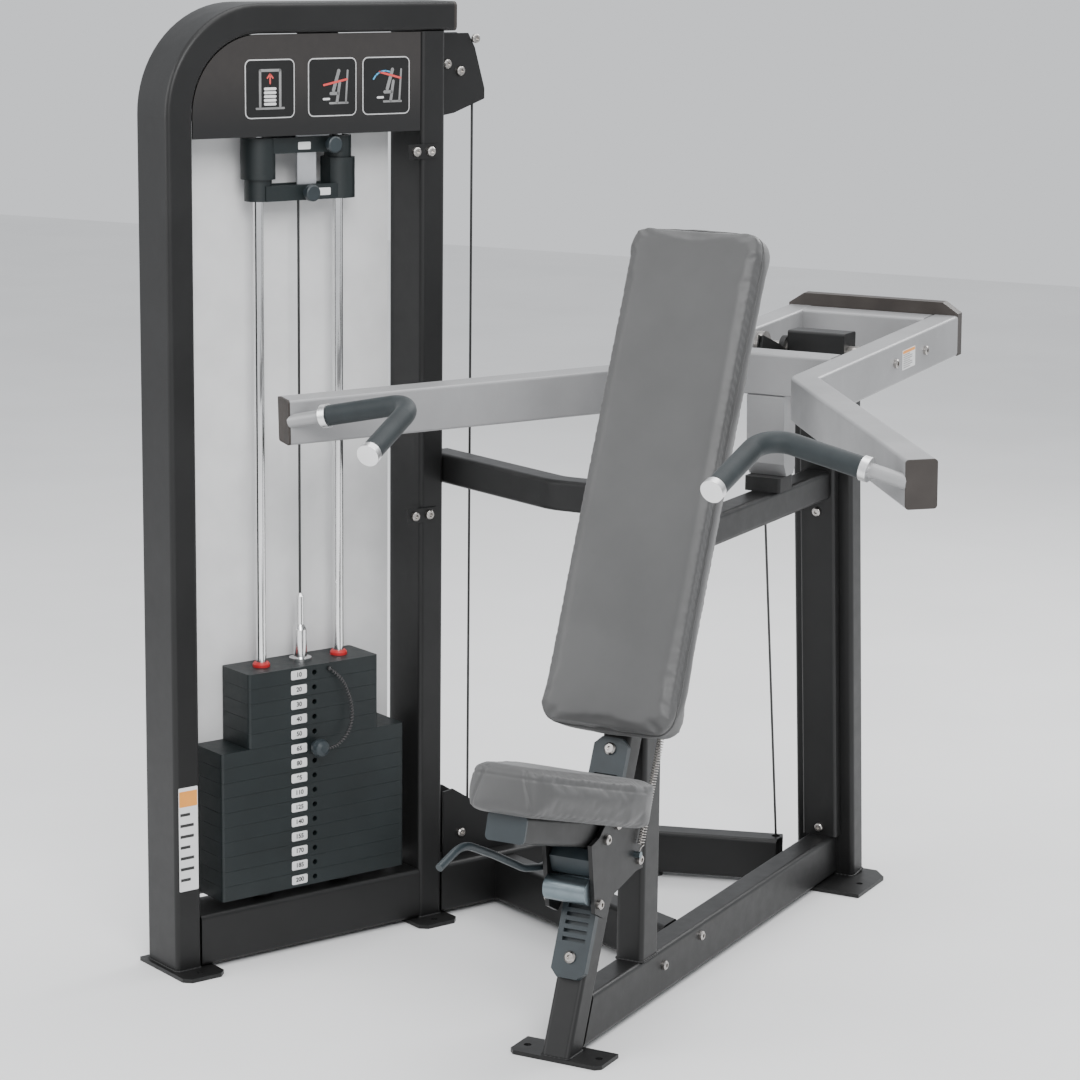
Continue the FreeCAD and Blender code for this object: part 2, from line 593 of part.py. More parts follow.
frontCentre = Vector(frontPulleyU, midDepth, s.topPulleyHeight)
rearCentre = Vector(rearPulleyU, midDepth, s.topPulleyHeight)
lowCentre = Vector(lowPulleyU, midDepth, s.lowPulleyHeight)
down = Vector(0, 0, -s.pulleyRadius)
side = Vector(s.pulleyRadius, 0, 0)
cableEnd = lowCentre + down + Vector(s.baseLength - s.towerLength - 190, 0, 0)
framePath = Part.Wire([
    pulleyArc(frontCentre, 180, 90),
    Part.LineSegment(frontCentre - down, rearCentre - down).toShape(),
    pulleyArc(rearCentre, 90, 0),
    Part.LineSegment(rearCentre + side, lowCentre - side).toShape(),
    pulleyArc(lowCentre, 180, 270),
    Part.LineSegment(lowCentre + down, cableEnd).toShape()])
towerCable = solid("tower_cable", roundSweep(framePath, s.cableRadius), towerFrame)

def archedPanel(bottom, inset, thickness):
    """Flat panel that fills the tower's opening down to a height, following the bend of its tube."""
    left = s.tubeWidth + inset
    right = s.towerLength - s.tubeWidth - inset
    top = s.towerHeight - s.tubeWidth - inset
    bend = s.towerBend - halfTube - inset
    points = [Vector(left, 0, top - bend), Vector(left, 0, bottom), Vector(right, 0, bottom),
              Vector(right, 0, top), Vector(left + bend, 0, top)]
    edges = [Part.LineSegment(a, b).toShape() for a, b in zip(points, points[1:])]
    bendMiddle = Vector(left + bend, 0, top - bend) + Vector(-1, 0, 1) * (bend / math.sqrt(2))
    edges.append(Part.Arc(points[-1], bendMiddle, points[0]).toShape())
    return Part.Face(Part.Wire(edges)).extrude(Vector(0, thickness, 0))


# sign panel in front, and the light shroud panel on the far side of the stack
keep(solid("sign_panel", archedPanel(s.signBottom, 1, 3), towerFrame * at(0, 4, 0)))
keep(solid("shroud_panel", archedPanel(s.baseHeight + 6, 6, 3), towerFrame * at(0, s.towerDepth - 6, 0)))

# clips on the rear post that hold the shroud
clip = prism("clip_pattern", "XZ_Plane", [("0", "-14"), ("70", "-14"), ("78", "-6"), ("78", "6"), ("70", "14"),
                                          ("0", "14")], "3", rowFrame, (), [("52", "0", "5")])
clipHeights = [s.clipLow, s.clipHigh]
shroudClips = group("shroud_clips", clip,
                    [towerFrame * at(s.towerLength - s.tubeWidth - 34, -s.fitGap, z) for z in clipHeights])
joined("tower_brackets", frontHangers, topBrackets, lowBrackets, shroudClips)

# end cap of the top bar
topBarCap = prism("top_bar_cap", "XY_Plane", rectangle("tubeWidth", "towerDepth"), "6",
                  towerFrame * at(barEnd, midDepth, s.towerHeight - halfTube, alongTower), (), (), "tubeCorner")

# ---------------------------------------------------------------- floor frame and main frame
leanAngle = math.radians(s.postLean)
floorBlock = solidBox("floor_block", "6000", "6000", "400", at(0, 0, s.footThickness - 400))
postBlock = solidBox("post_block", "tubeWidth", "postDepth + 0.02", "postTop + 200",
                     leanFrame * at(0, s.postDepth / 2, -200))
farBlock = solidBox("front_of_post", "400", "800", "2600", leanFrame * at(0, -400 + s.postDepth / 2, -300))
uprightBlock = solidBox("upright_block", "uprightWidth", "uprightDepth", "2000",
                        uprightFrame * at(0, s.uprightDepth / 2, -200))
behindUpright = solidBox("behind_upright", "400", "800", "2600", uprightFrame * at(0, 400, -300))
faceBarBlock = solidBox("face_bar_block", "faceBarWidth", "faceBarDepth", "2000",
                        uprightFrame * at(0, -s.faceBarDepth / 2, -200))
behindFaceBar = solidBox("behind_face_bar", "400", "800", "2600",
                         uprightFrame * at(0, 400 - s.faceBarDepth, -300))
topBlock = solidBox("top_block", "2000", "4000", "900", at(0, 0, s.frameTop))

# seat post: one tube from the front foot, leaning back behind the pads
postTube = boxTube("post_tube", "tubeWidth", "postDepth", "postTop + 40", leanFrame * at(0, s.postDepth / 2, -40))
springLug = solid("spring_lug", Part.makeBox(s.springX - halfTube + 8, s.springY - 22, 8,
                                             Vector(halfTube, 30, s.springTop + 0.5)), leanFrame)
keep(fused("seat_post", trimmed("cut_post", postTube, floorBlock), springLug))
postCap = prism("seat_post_cap", "XY_Plane", rectangle("tubeWidth", "postDepth"), "5",
                leanFrame * at(0, s.postDepth / 2, s.postTop + s.fitGap), (), (), "tubeCorner")
joined("frame_caps", topBarCap, postCap)

# main tube along the floor, from the post to the rear upright
alongRow = turned(Vector(1, 0, 0), -90)
mainMiddle = s.mainFloor + s.mainHeight / 2
mainRaw = boxTube("main_raw", "tubeWidth", "mainHeight", "uprightY + 100", at(0, 0, mainMiddle, alongRow))
keep(trimmed("main_tube", mainRaw, farBlock, postBlock, behindUpright))

# short column between the main tube and the post
columnRaw = boxTube("column_raw", "tubeWidth", "columnDepth", "1000",
                    at(0, s.columnY + s.columnDepth / 2, s.mainFloor + s.mainHeight))
keep(trimmed("seat_column", columnRaw, farBlock, postBlock))

# top beam from the post back to the upright's face bar
beamRaw = boxTube("beam_raw", "tubeWidth", "beamHeight", "uprightY", at(0, 0, s.beamTop - s.beamHeight / 2, alongRow))
keep(trimmed("top_beam", beamRaw, farBlock, postBlock, behindFaceBar))

# rear upright and the bolted bar on its front face
uprightRaw = boxTube("upright_raw", "uprightWidth", "uprightDepth", "frameTop + 60",
                     uprightFrame * at(0, s.uprightDepth / 2, -20))
keep(trimmed("rear_upright", uprightRaw, floorBlock, topBlock))
faceBarRaw = boxTube("face_bar_raw", "faceBarWidth", "faceBarDepth", "frameTop + 60",
                     uprightFrame * at(0, -s.faceBarDepth / 2, -20), "tubeWall", "6")
mainBlock = solidBox("main_block", "400", "4000", "mainHeight", at(0, 0, s.mainFloor))
underMain = solidBox("under_main", "400", "4000", "40", at(0, 0, s.mainFloor - 40))
keep(trimmed("upright_face_bar", faceBarRaw, mainBlock, underMain, topBlock))

# foot plates of the seat unit, with anchor holes
frontFoot = prism("front_foot", "XY_Plane",
                  [("-footLength + 10", "0"), ("footLength - 10", "0"), ("footLength", "10"),
                   ("footLength", "76"), ("-footLength", "76"), ("-footLength", "10")],
                  "footThickness", rowFrame, (), [("-footLength + 20", "38", "footHole"),
                                                  ("footLength - 20", "38", "footHole")])
rearFoot = prism("rear_foot", "XY_Plane",
                 [("-122", "uprightY - 112"), ("122", "uprightY - 112"), ("122", "uprightY + 30"),
                  ("92", "uprightY + 66"), ("-92", "uprightY + 66"), ("-122", "uprightY + 30")],
                 "footThickness", rowFrame, (), [("-95", "uprightY - 40", "footHole"),
                                                 ("95", "uprightY - 40", "footHole")])
joined("foot_plates", towerFeet, frontFoot, rearFoot)

# low link tube from the tower's side base to the main tube, square to the tower
linkMiddle = s.linkU + halfTube
awayFromTower = turned(Vector(1, 0, 0), 90)
linkRaw = boxTube("link_raw", "tubeWidth", "linkHeight", "900",
                  towerFrame * at(linkMiddle, 0, s.mainFloor + s.linkHeight / 2, awayFromTower))
pastMain = solidBox("past_main", "2000", "4000", "400", at(1000 - halfTube, 0, -100))
lowLink = trimmed("low_link", linkRaw, pastMain)

# high link tube from the tower's rear post, bent to lie across the top beam behind the post
linkTop = s.beamTop + s.highLinkHeight / 2 + s.fitGap
highStart = towerFrame.multVec(Vector(s.highLinkU + halfTube + s.fitGap, midDepth, linkTop))
awayAxis = towerFrame.Rotation.multVec(Vector(0, -1, 0))
bendReach = (s.highLinkY - highStart.y) / awayAxis.y
highBend = highStart + awayAxis * bendReach
highPath = bentPath([highStart, highBend, Vector(halfTube, s.highLinkY, linkTop)], [90])
highRotation = towerFrame.Rotation * awayFromTower
highLink = solid("high_link", bentBoxTube(highPath, s.tubeWidth, s.highLinkHeight, s.tubeWall, s.tubeCorner,
                                          Placement(highStart, highRotation)))

# rear cross tube from the tower's side base to the upright, with the cable's entry hole
rearRaw = boxTube("rear_cross_raw", "tubeWidth", "linkHeight", "700",
                  rearBarFrame * at(0, 0, s.linkHeight / 2, turned(Vector(0, 1, 0), 90)
                                    * turned(Vector(0, 0, 1), 90)))
towerBlock = solidBox("tower_block", "4000", "4000", "400", towerFrame * at(0, 2000, -100))
entryHole = doc.addObject("Part::Cylinder", "cable_entry")
bind(entryHole, Radius="9", Height="60")
entryHole.Placement = at(s.camX, s.camEntryY, s.mainFloor + s.linkHeight - 30)
uprightSide = solidBox("upright_side", "400", "4000", "400", at(200 - s.uprightWidth / 2, 0, -100))
joined("link_tubes", lowLink, highLink, trimmed("rear_cross", rearRaw, towerBlock, uprightSide, entryHole))

# pivot housing on top of the upright, with the shaft's bore
housing = prism("pivot_housing", "YZ_Plane", rectangle("housingDepth", "housingHeight"), "housingWidth",
                at(-s.housingWidth / 2, s.pivotY, s.frameTop + s.housingHeight / 2 + 0.1), (),
                [("0", "pivotZ - frameTop - housingHeight / 2 - 0.1", "shaftRadius + shaftFit")], "5")
keep(housing)

# rubber stop on the top beam under the press arm's bracket, with the stack's own bumpers
stopHeight = ("pivotZ + frontBarY * sin(armTilt * 1 deg) - (armHeight / 2 + bracketDrop) * cos(armTilt * 1 deg)"
              " - beamTop - fitGap")
stopBumper = prism("stop_bumper", "XY_Plane", rectangle("bracketWidth - 4", "armTube + 10"), stopHeight,
                   at(0, s.pivotY + s.frontBarY + s.armTube / 2, s.beamTop), (), (), "6")
joined("rubber_bumpers", stackBumpers, stopBumper)

# ---------------------------------------------------------------- press arm
halfArm = s.armTube / 2
spread = math.radians(s.armSpread)


def armPath(side, beyond=0):
    """Line of a side tube and its arm, side 1 on the user's left, with some length beyond the tip."""
    reach = s.armLength + beyond
    tip = Vector(side * (s.armX + reach * math.cos(spread)), s.armFront - reach * math.sin(spread), 0)
    return bentPath([Vector(side * s.armX, s.armRear, 0), Vector(side * s.armX, s.armFront, 0), tip],
                    [s.armBend])


def armBlock(side):
    """Solid outline of an arm and its end cap, which the handle is cut back to."""
    section = roundedSection(s.armTube, s.armHeight, 6, at(side * s.armX, s.armRear, 0, facingMinusY))
    block = armPath(side, 12).makePipeShell([section], True, False)
    block.Placement = armFrame * block.Placement
    return block


for sideName, side in (("left", 1), ("right", -1)):
    shape = bentBoxTube(armPath(side), s.armTube, s.armHeight, s.tubeWall, 6,
                        at(side * s.armX, s.armRear, 0, facingMinusY))
    keep(solid("arm_tube_" + sideName, shape, armFrame))

acrossSpan = "2 * armX - armTube"
crossStart = -(s.armX - halfArm)
crossBars = [boxTube(label, "armHeight", "armTube", acrossSpan, armFrame * at(crossStart, y, 0, alongX),
                     "tubeWall", "6")
             for label, y in (("arm_front_bar", s.frontBarY + halfArm), ("arm_rear_bar", s.armRear - halfArm))]
joined("arm_cross_bars", *crossBars)

# steel counterweight plate across the back, with bevelled upper corners
plateHalf = s.armX + halfArm
keep(prism("counterweight_plate", "XZ_Plane",
           [("-armX - armTube / 2", "-armHeight / 2"), ("armX + armTube / 2", "-armHeight / 2"),
            ("armX + armTube / 2", "armHeight / 2 + 4"), ("armX + armTube / 2 - 34", "armHeight / 2 + 26"),
            ("-armX - armTube / 2 + 34", "armHeight / 2 + 26"), ("-armX - armTube / 2", "armHeight / 2 + 4")],
           "plateBehind", armFrame * at(0, s.armRear + s.fitGap + s.plateBehind, 0)))

# pivot shaft, turned with a flange at each end that meets the side tubes
shaftLength = "2 * armX - armTube"
keep(lathe("pivot_shaft", [("0", "0"), ("flangeRadius", "0"), ("flangeRadius", "flangeWidth"),
                           ("shaftRadius", "flangeWidth"), ("shaftRadius", shaftLength + " - flangeWidth"),
                           ("flangeRadius", shaftLength + " - flangeWidth"), ("flangeRadius", shaftLength),
                           ("0", shaftLength)],
           armFrame * at(crossStart, 0, 0, alongX)))

# stop bracket hanging under the front bar
keep(prism("stop_bracket", "YZ_Plane",
           [("frontBarY", "-armHeight / 2 - 0.1"), ("frontBarY", "-armHeight / 2 - bracketDrop + 26"),
            ("frontBarY + 14", "-armHeight / 2 - bracketDrop"),
            ("frontBarY + armTube - 8", "-armHeight / 2 - bracketDrop"),
            ("frontBarY + armTube", "-armHeight / 2 - bracketDrop + 14"),
            ("frontBarY + armTube", "-armHeight / 2 - 0.1")],
           "bracketWidth", armFrame * at(-s.bracketWidth / 2, 0, 0)))

# cam sector on the shaft and the drive cable that lies in its groove
entry = Vector(0, s.camEntryY - s.pivotY, s.mainFloor + s.linkHeight - s.pivotZ)
entryDistance = math.hypot(entry.y, entry.z)
fromDown = math.degrees(math.acos(s.camRadius / entryDistance)) - math.degrees(math.atan2(entry.y, -entry.z))
tangentDrop = 90 - fromDown
sectorStart = tangentDrop + 36
sectorSpan = sectorStart + 18


def camSector(radius, thickness):
    """Sector of a disc about the pivot, open towards the front and down."""
    turnStart = 180 + sectorStart
    disk = Part.makeCylinder(radius, thickness, Vector(s.camX - thickness / 2, 0, 0), Vector(1, 0, 0), 360)
    wedge = [Vector(s.camX - thickness, 0, 0)]
    for step in range(5):
        angle = math.radians(turnStart - sectorSpan * step / 4)
        wedge.append(Vector(s.camX - thickness, 2 * radius * math.cos(angle), 2 * radius * math.sin(angle)))
    wedge.append(wedge[0])
    block = Part.Face(Part.makePolygon(wedge)).extrude(Vector(2 * thickness, 0, 0))
    return disk.common(block)


hub = Part.makeCylinder(27, s.camWidth, Vector(s.camX - s.camWidth / 2, 0, 0), Vector(1, 0, 0))
core = camSector(s.camRadius - s.cableRadius, s.camWidth)
cheeks = camSector(s.camRadius + 5, s.camWidth).cut(camSector(s.camRadius + 9, 2 * s.cableRadius + 1))
camShape = hub.fuse([core, cheeks])
camShape = camShape.cut(Part.makeCylinder(s.shaftRadius + 0.05, 60, Vector(s.camX - 30, 0, 0), Vector(1, 0, 0)))
camFrame = Placement(Vector(0, s.pivotY, s.pivotZ), Rotation())
cam = solid("cam", camShape.removeSplitter(), camFrame)


def camPoint(drop):
    """Point of the cable's line on the cam, at an angle below the front."""
    angle = math.radians(180 + drop)
    return Vector(s.camX, s.camRadius * math.cos(angle), s.camRadius * math.sin(angle))


# the cable's end on the cam, from just past the point where the straight stretch leaves it
wrapStart = tangentDrop - 1.5
wrapEnd = tangentDrop - 20
wrap = Part.Wire([Part.Arc(camPoint(wrapStart), camPoint((wrapStart + wrapEnd) / 2), camPoint(wrapEnd)).toShape()])
joined("drive_cam", cam, solid("cam_cable", roundSweep(wrap, s.cableRadius), camFrame))
tangent = camPoint(tangentDrop) + Vector(0, s.pivotY, s.pivotZ)
entryPoint = Vector(s.camX, s.camEntryY, s.mainFloor + s.linkHeight)
inside = entryPoint + (entryPoint - tangent).normalize() * 40
runPath = Part.Wire([Part.LineSegment(inside, tangent).toShape()])
joined("drive_cable", towerCable, solid("rear_cable", roundSweep(runPath, s.cableRadius)))

# caps in the open ends of the arms and of the rear
capShape = roundedSection(s.armTube, s.armHeight, 6, Placement())
tipCap = Part.Face(capShape).extrude(Vector(0, 0, 4))
capPlaces = []
for side in (1, -1):
    tipDirection = Vector(side * math.cos(spread), -math.sin(spread), 0)
    tip = Vector(side * (s.armX + s.armLength * math.cos(spread)), s.armFront - s.armLength * math.sin(spread), 0)
    outward = turned(Vector(0, 0, 1), side * (90 - s.armSpread)) * facingMinusY
    capPlaces.append(armFrame * Placement(tip + tipDirection * s.fitGap, outward))
tipCapFeature = solid("tip_cap_pattern", tipCap)
keep(group("arm_end_caps", tipCapFeature, capPlaces))


def sidePoint(side, x, y, z):
    return Vector(side * x, y, z)


def handlePath(side, start=0, end=0):
    """Line of a handle, shortened by start at the arm and by end at its free end."""
    root = sidePoint(side, s.handleRootX, s.handleRootY, s.handleRootZ)
    corner = sidePoint(side, s.handleX, s.handleY, s.handleZ)
    tip = sidePoint(side, s.handleEndX, s.handleEndY, s.handleEndZ)
    root = root + (corner - root).normalize() * start
    tip = tip + (corner - tip).normalize() * end
    return bentPath([root, corner, tip], [s.gripBend])


handles = []
grips = []
rings = []
for side in (1, -1):
    whole = handlePath(side)
    handle = roundSweep(whole, s.handleRadius).cut(roundSweep(whole, s.handleRadius - s.handleWall))
    pieces = handle.cut(armBlock(side)).Solids
    handles.append(min(pieces, key=lambda piece: abs(piece.CenterOfMass.x)))
    grip = roundSweep(handlePath(side, s.gripStart, s.gripEnd), s.gripRadius)
    grips.append(grip.cut(roundSweep(whole, s.handleRadius)))
    first = handlePath(side, s.gripStart - s.collarWidth).Edges[0]
    start = first.valueAt(first.FirstParameter)
    direction = first.tangentAt(first.FirstParameter)
    collar = Part.makeCylinder(s.collarRadius, s.collarWidth - s.fitGap, start, direction)
    rings.append(collar.cut(Part.makeCylinder(s.handleRadius, s.collarWidth, start, direction)))
    last = whole.Edges[-1]
    tip = last.valueAt(last.LastParameter)
    outward = last.tangentAt(last.LastParameter)
    cap = Part.makeCylinder(s.capRadius, s.gripEnd + 6, tip - outward * (s.gripEnd - s.fitGap), outward)
    rings.append(cap.cut(Part.makeCylinder(s.handleRadius, s.gripEnd, tip - outward * s.gripEnd, outward)))
keep(solid("handles", Part.makeCompound(handles)))
keep(solid("grips", Part.makeCompound(grips)))
keep(solid("grip_rings", Part.makeCompound(rings)))

# ---------------------------------------------------------------- back pad
keep(prism("back_pad_board", "XY_Plane", rectangle("padWidth - 24", "padLength - 24"), "boardThickness - 0.6",
           leanFrame * at(0, -s.fitGap, s.padBottom + s.padLength / 2, facingMinusY), (), (), "30"))
keep(prism("back_pad", "XY_Plane", rectangle("padWidth", "padLength"), "padThickness",
           leanFrame * at(0, -s.boardThickness, s.padBottom + s.padLength / 2, facingMinusY), (), (), "36"))

# ---------------------------------------------------------------- seat
# toothed rack cover on the post
rackSlots = Part.makeBox(s.rackWidth, s.rackThickness, s.rackTop - s.rackBottom,
                         Vector(-s.rackWidth / 2, -s.rackThickness, s.rackBottom))
corner = 20
for side in (-1, 1):
    for height in (s.rackBottom, s.rackTop):
        chip = Part.makeBox(corner, 3 * s.rackThickness, corner, Vector(-corner / 2, -2 * s.rackThickness, -corner / 2))
        chip.Placement = at(side * s.rackWidth / 2, 0, height, turned(Vector(0, 1, 0), 45))
        rackSlots = rackSlots.cut(chip)
slotCount = int((s.rackTop - s.rackBottom - 120) / s.rackPitch)
for number in range(slotCount):
    height = s.rackBottom + 66 + number * s.rackPitch
    rackSlots = rackSlots.cut(Part.makeBox(s.rackWidth - 22, 9, 7, Vector(11 - s.rackWidth / 2, -s.rackThickness, height)))
keep(solid("post_rack", rackSlots, leanFrame * at(0, -0.1, 0)))
screw = lathe("screw_pattern", [("0", "0"), ("11", "0"), ("11", "3"), ("8", "6"), ("4", "6"), ("4", "3"), ("0", "3")],
              rowFrame)
rackScrews = group("rack_screws", screw, [leanFrame * at(0, -s.rackThickness - 0.2, z, facingMinusY)
                                          for z in (s.rackBottom + 38, s.rackTop - 21)])

# carriage: two side plates on rollers, the seat tube and the latch
carriageOutline = [("40", "398"), ("58", "268"), ("92", "250"), ("135", "285"), ("222", "303"), ("250", "302"),
                   ("240", "388"), ("208", "424"), ("104", "430"), ("70", "405")]
sidePlate = prism("side_plate_pattern", "YZ_Plane", carriageOutline, "carriagePlate", rowFrame)
keep(group("carriage_plates", sidePlate, [at(s.carriageGap, 0, 0),
                                          at(-s.carriageGap - s.carriagePlate, 0, 0)]))
rollerSpan = "2 * carriageGap - 1"
rollerStart = 0.5 - s.carriageGap
roller = disc("roller_pattern", "rollerRadius", rollerSpan, rowFrame)
behindPost = s.postDepth + s.rollerRadius + s.rollerGap
beforeRack = -s.rackThickness - s.rollerRadius - s.rollerGap
rollers = group("post_rollers", roller, [leanFrame * at(rollerStart, y, z, alongX) for y, z in
                                         ((behindPost, 372), (behindPost, 418), (beforeRack, 330))])
barrel = disc("latch_barrel", "latchRadius", rollerSpan, at(rollerStart, s.latchY, s.latchZ, alongX))
stud = disc("spring_stud", "6", "springX + 4 - carriageGap - carriagePlate",
            leanFrame * at(s.carriageGap + s.carriagePlate, s.springY, s.springStud, alongX))
joined("carriage_rollers", rollers, barrel, stud)
cover = prism("latch_cover", "YZ_Plane",
              [("62", "334"), ("90", "322"), ("107", "344"), ("111", "369"), ("70", "381"), ("52", "366")],
              "2 * carriageGap - 4", at(2 - s.carriageGap, 0, 0))
seatTube = boxTube("seat_tube", "seatTubeWidth", "seatTubeHeight", "seatTubeLength",
                   seatFrame * at(0, 0, 0, alongRow))
keep(seatTube)
tubeCap = prism("seat_tube_cap", "XY_Plane", rectangle("seatTubeWidth", "seatTubeHeight"), "5",
                seatFrame * at(0, -s.fitGap - 5, 0, alongRow), (), (), "tubeCorner")
joined("seat_covers", cover, tubeCap)
seatWaist = "seatPadLength * seatPadWaist - seatPadNose"
seatRear = "seatPadLength - seatPadNose"
seatOutline = [("-seatPadFront / 2", "-seatPadNose"), ("seatPadFront / 2", "-seatPadNose"),
               ("seatPadRear / 2 - seatPadTaper", seatWaist), ("seatPadRear / 2", seatRear),
               ("-seatPadRear / 2", seatRear), ("-seatPadRear / 2 + seatPadTaper", seatWaist)]
boardOutline = [("(%s) * boardShare" % x, "(%s) * boardShare + boardSetback" % y) for x, y in seatOutline]
keep(prism("seat_board", "XY_Plane", boardOutline, "seatBoard - fitGap",
           seatFrame * at(0, 0, s.seatTubeHeight / 2 + s.fitGap / 2)))
keep(prism("seat_pad", "XY_Plane", seatOutline, "seatPadThickness",
           seatFrame * at(0, 0, s.seatTubeHeight / 2 + s.seatBoard + s.fitGap), (), (), "34", 4))

# seat lever on its own pivot, reaching forward under the pad
leverHub = Part.makeCylinder(15, 9, Vector(-s.leverX - 4.5, s.leverPivotY, s.leverPivotZ), Vector(1, 0, 0))
leverPoints = [Vector(-s.leverX, s.leverPivotY - 6, s.leverPivotZ), Vector(-62, 60, 337), Vector(-66, 4, 350),
               Vector(-74, -98, 402), Vector(-82, -190, 444), Vector(-90, -258, 418)]
leverPath = bentPath(leverPoints, [60, 90, 300, 70])
leverTube = roundSweep(leverPath, s.leverRadius)
keep(solid("seat_lever", leverHub.fuse(leverTube)))

# lift-assist spring beside the post, from the carriage's stud up to the post's lug
keep(disc("seat_spring", "springRadius", "springTop - springStud - 7",
          leanFrame * at(s.springX, s.springY, s.springStud + 6.5)))

# ---------------------------------------------------------------- bolts
bolt = lathe("bolt_pattern", [("0", "0"), ("boltRadius", "0"), ("boltRadius", "boltHead - 2"),
                              ("boltRadius - 2", "boltHead"), ("4", "boltHead"), ("4", "boltHead - 4"),
                              ("0", "boltHead - 4")], rowFrame)
toRight = alongX
toLeft = turned(Vector(0, 1, 0), -90)
frameBolts = [uprightFrame * at(0, -s.faceBarDepth - 0.1, z, facingMinusY) for z in (816, 122)]
frameBolts += [at(halfTube + 0.1, y, mainMiddle + z, toRight) for y, z in ((395, 12), (560, 22))]
frameBolts += [towerFrame * at(rearPulleyU + x, midDepth - cheek - 5.1, s.topPulleyHeight + z, facingMinusY)
               for x, z in ((-32, 14), (36, 62), (0, 0))]
frameBolts += [towerFrame * at(lowPulleyU - 77, midDepth - cheek - 5.1, s.lowPulleyHeight + 58, facingMinusY)]
frameBolts += [towerFrame * at(s.towerLength - s.tubeWidth + across, -s.fitGap - 3.1, z, facingMinusY)
               for z in clipHeights for across in (-16, 18)]
joined("frame_bolts", group("tube_bolts", bolt, frameBolts), rackScrews, pulleyAxles)
armBolts = [armFrame * at(side * (plateHalf + 0.1), y, 2, toRight if side > 0 else toLeft)
            for side in (1, -1) for y in (-77, 87)]
keep(group("arm_bolts", bolt, armBolts))
plateFaceX = s.carriageGap + s.carriagePlate + 0.1
carriageBolts = [(s.latchY + 20, s.latchZ - 26), (98, 395), (140, 412), (178, 414), (232, 322)]
keep(group("carriage_bolts", bolt, [at(plateFaceX, y, z, toRight) for y, z in carriageBolts]
           + [at(-plateFaceX, y, z, toLeft) for y, z in carriageBolts if y != 98]))

# ---------------------------------------------------------------- checks and export
doc.recompute()
for piece in doc.Objects:
    if "Invalid" in piece.State or "Error" in piece.State:
        raise RuntimeError("%s failed: %s" % (piece.Label, piece.State))
labels = [piece.Label for piece in subParts]
if len(set(labels)) != len(labels):
    raise RuntimeError("two sub-parts share a label")
os.makedirs("parts", exist_ok=True)
for piece in subParts:
    if piece.Shape.isNull() or not piece.Shape.isValid() or piece.Shape.Volume < 1:
        raise RuntimeError("%s has no valid shape" % piece.Label)
    piece.Shape.exportStep("parts/%s.step" % piece.Label)
print(len(subParts), "sub-parts written")
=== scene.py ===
import json
import math

import bmesh
import bpy
from mathutils import Matrix, Vector, noise


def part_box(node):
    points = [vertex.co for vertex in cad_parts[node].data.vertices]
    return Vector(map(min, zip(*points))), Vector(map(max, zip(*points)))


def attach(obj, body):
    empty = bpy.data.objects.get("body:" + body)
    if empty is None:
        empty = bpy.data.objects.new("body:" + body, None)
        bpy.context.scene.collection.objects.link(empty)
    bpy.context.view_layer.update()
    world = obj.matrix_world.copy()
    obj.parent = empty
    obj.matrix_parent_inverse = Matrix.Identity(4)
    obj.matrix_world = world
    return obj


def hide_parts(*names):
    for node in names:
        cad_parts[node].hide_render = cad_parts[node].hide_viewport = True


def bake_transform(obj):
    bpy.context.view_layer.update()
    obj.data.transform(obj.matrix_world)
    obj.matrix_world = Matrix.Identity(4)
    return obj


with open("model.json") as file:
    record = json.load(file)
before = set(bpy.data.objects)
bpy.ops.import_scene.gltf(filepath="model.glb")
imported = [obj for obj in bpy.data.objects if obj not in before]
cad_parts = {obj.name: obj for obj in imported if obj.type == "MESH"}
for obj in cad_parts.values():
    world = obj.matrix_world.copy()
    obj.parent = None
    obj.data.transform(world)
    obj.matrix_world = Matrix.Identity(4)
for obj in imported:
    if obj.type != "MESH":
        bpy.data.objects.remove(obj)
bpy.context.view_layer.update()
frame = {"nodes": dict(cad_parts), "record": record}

nodes = frame["nodes"]
slotOf = {part["node"]: part["material_slot"] for part in frame["record"]["subparts"]}
print("frame loaded:", len(nodes), "parts")

# the machine's own frames, in metres: tower plane, leaning post, seat, press arm
towerFrame = Matrix.Translation((-0.837, 0.046, 0)) @ Matrix.Rotation(math.radians(65.26), 4, "Z")
leanFrame = Matrix.Rotation(math.radians(-23), 4, "X")
seatFrame = Matrix.Translation((0, -0.182, 0.483)) @ Matrix.Rotation(math.radians(-16), 4, "X")
armFrame = Matrix.Translation((0, 1.150, 1.142)) @ Matrix.Rotation(math.radians(2.7), 4, "X")
uprightFrame = Matrix.Translation((0, 1.258, 0)) @ Matrix.Rotation(math.radians(5.37), 4, "X")
facingUser = Matrix.Rotation(math.radians(90), 4, "X")  # local z points towards -y
facingLeft = Matrix.Rotation(math.radians(90), 4, "Z") @ facingUser  # local z points towards +x
stack = {"centre": 0.320, "face": 0.006, "floor": 0.126, "pitch": 0.0296,
         "thickness": 0.0292, "count": 15, "top": 0.5698, "pin": 0.407}


# middle of a plate of the stack, numbered from the top
def plateHeight(number):
    return stack["floor"] + (stack["count"] - number) * stack["pitch"] + stack["thickness"] / 2


# camera, first, because the cord's room is judged from it
view = {"place": (2.378, -4.623, 2.004), "heading": 27.60, "tilt": 11.46, "roll": 0.655, "lens": 102.7}


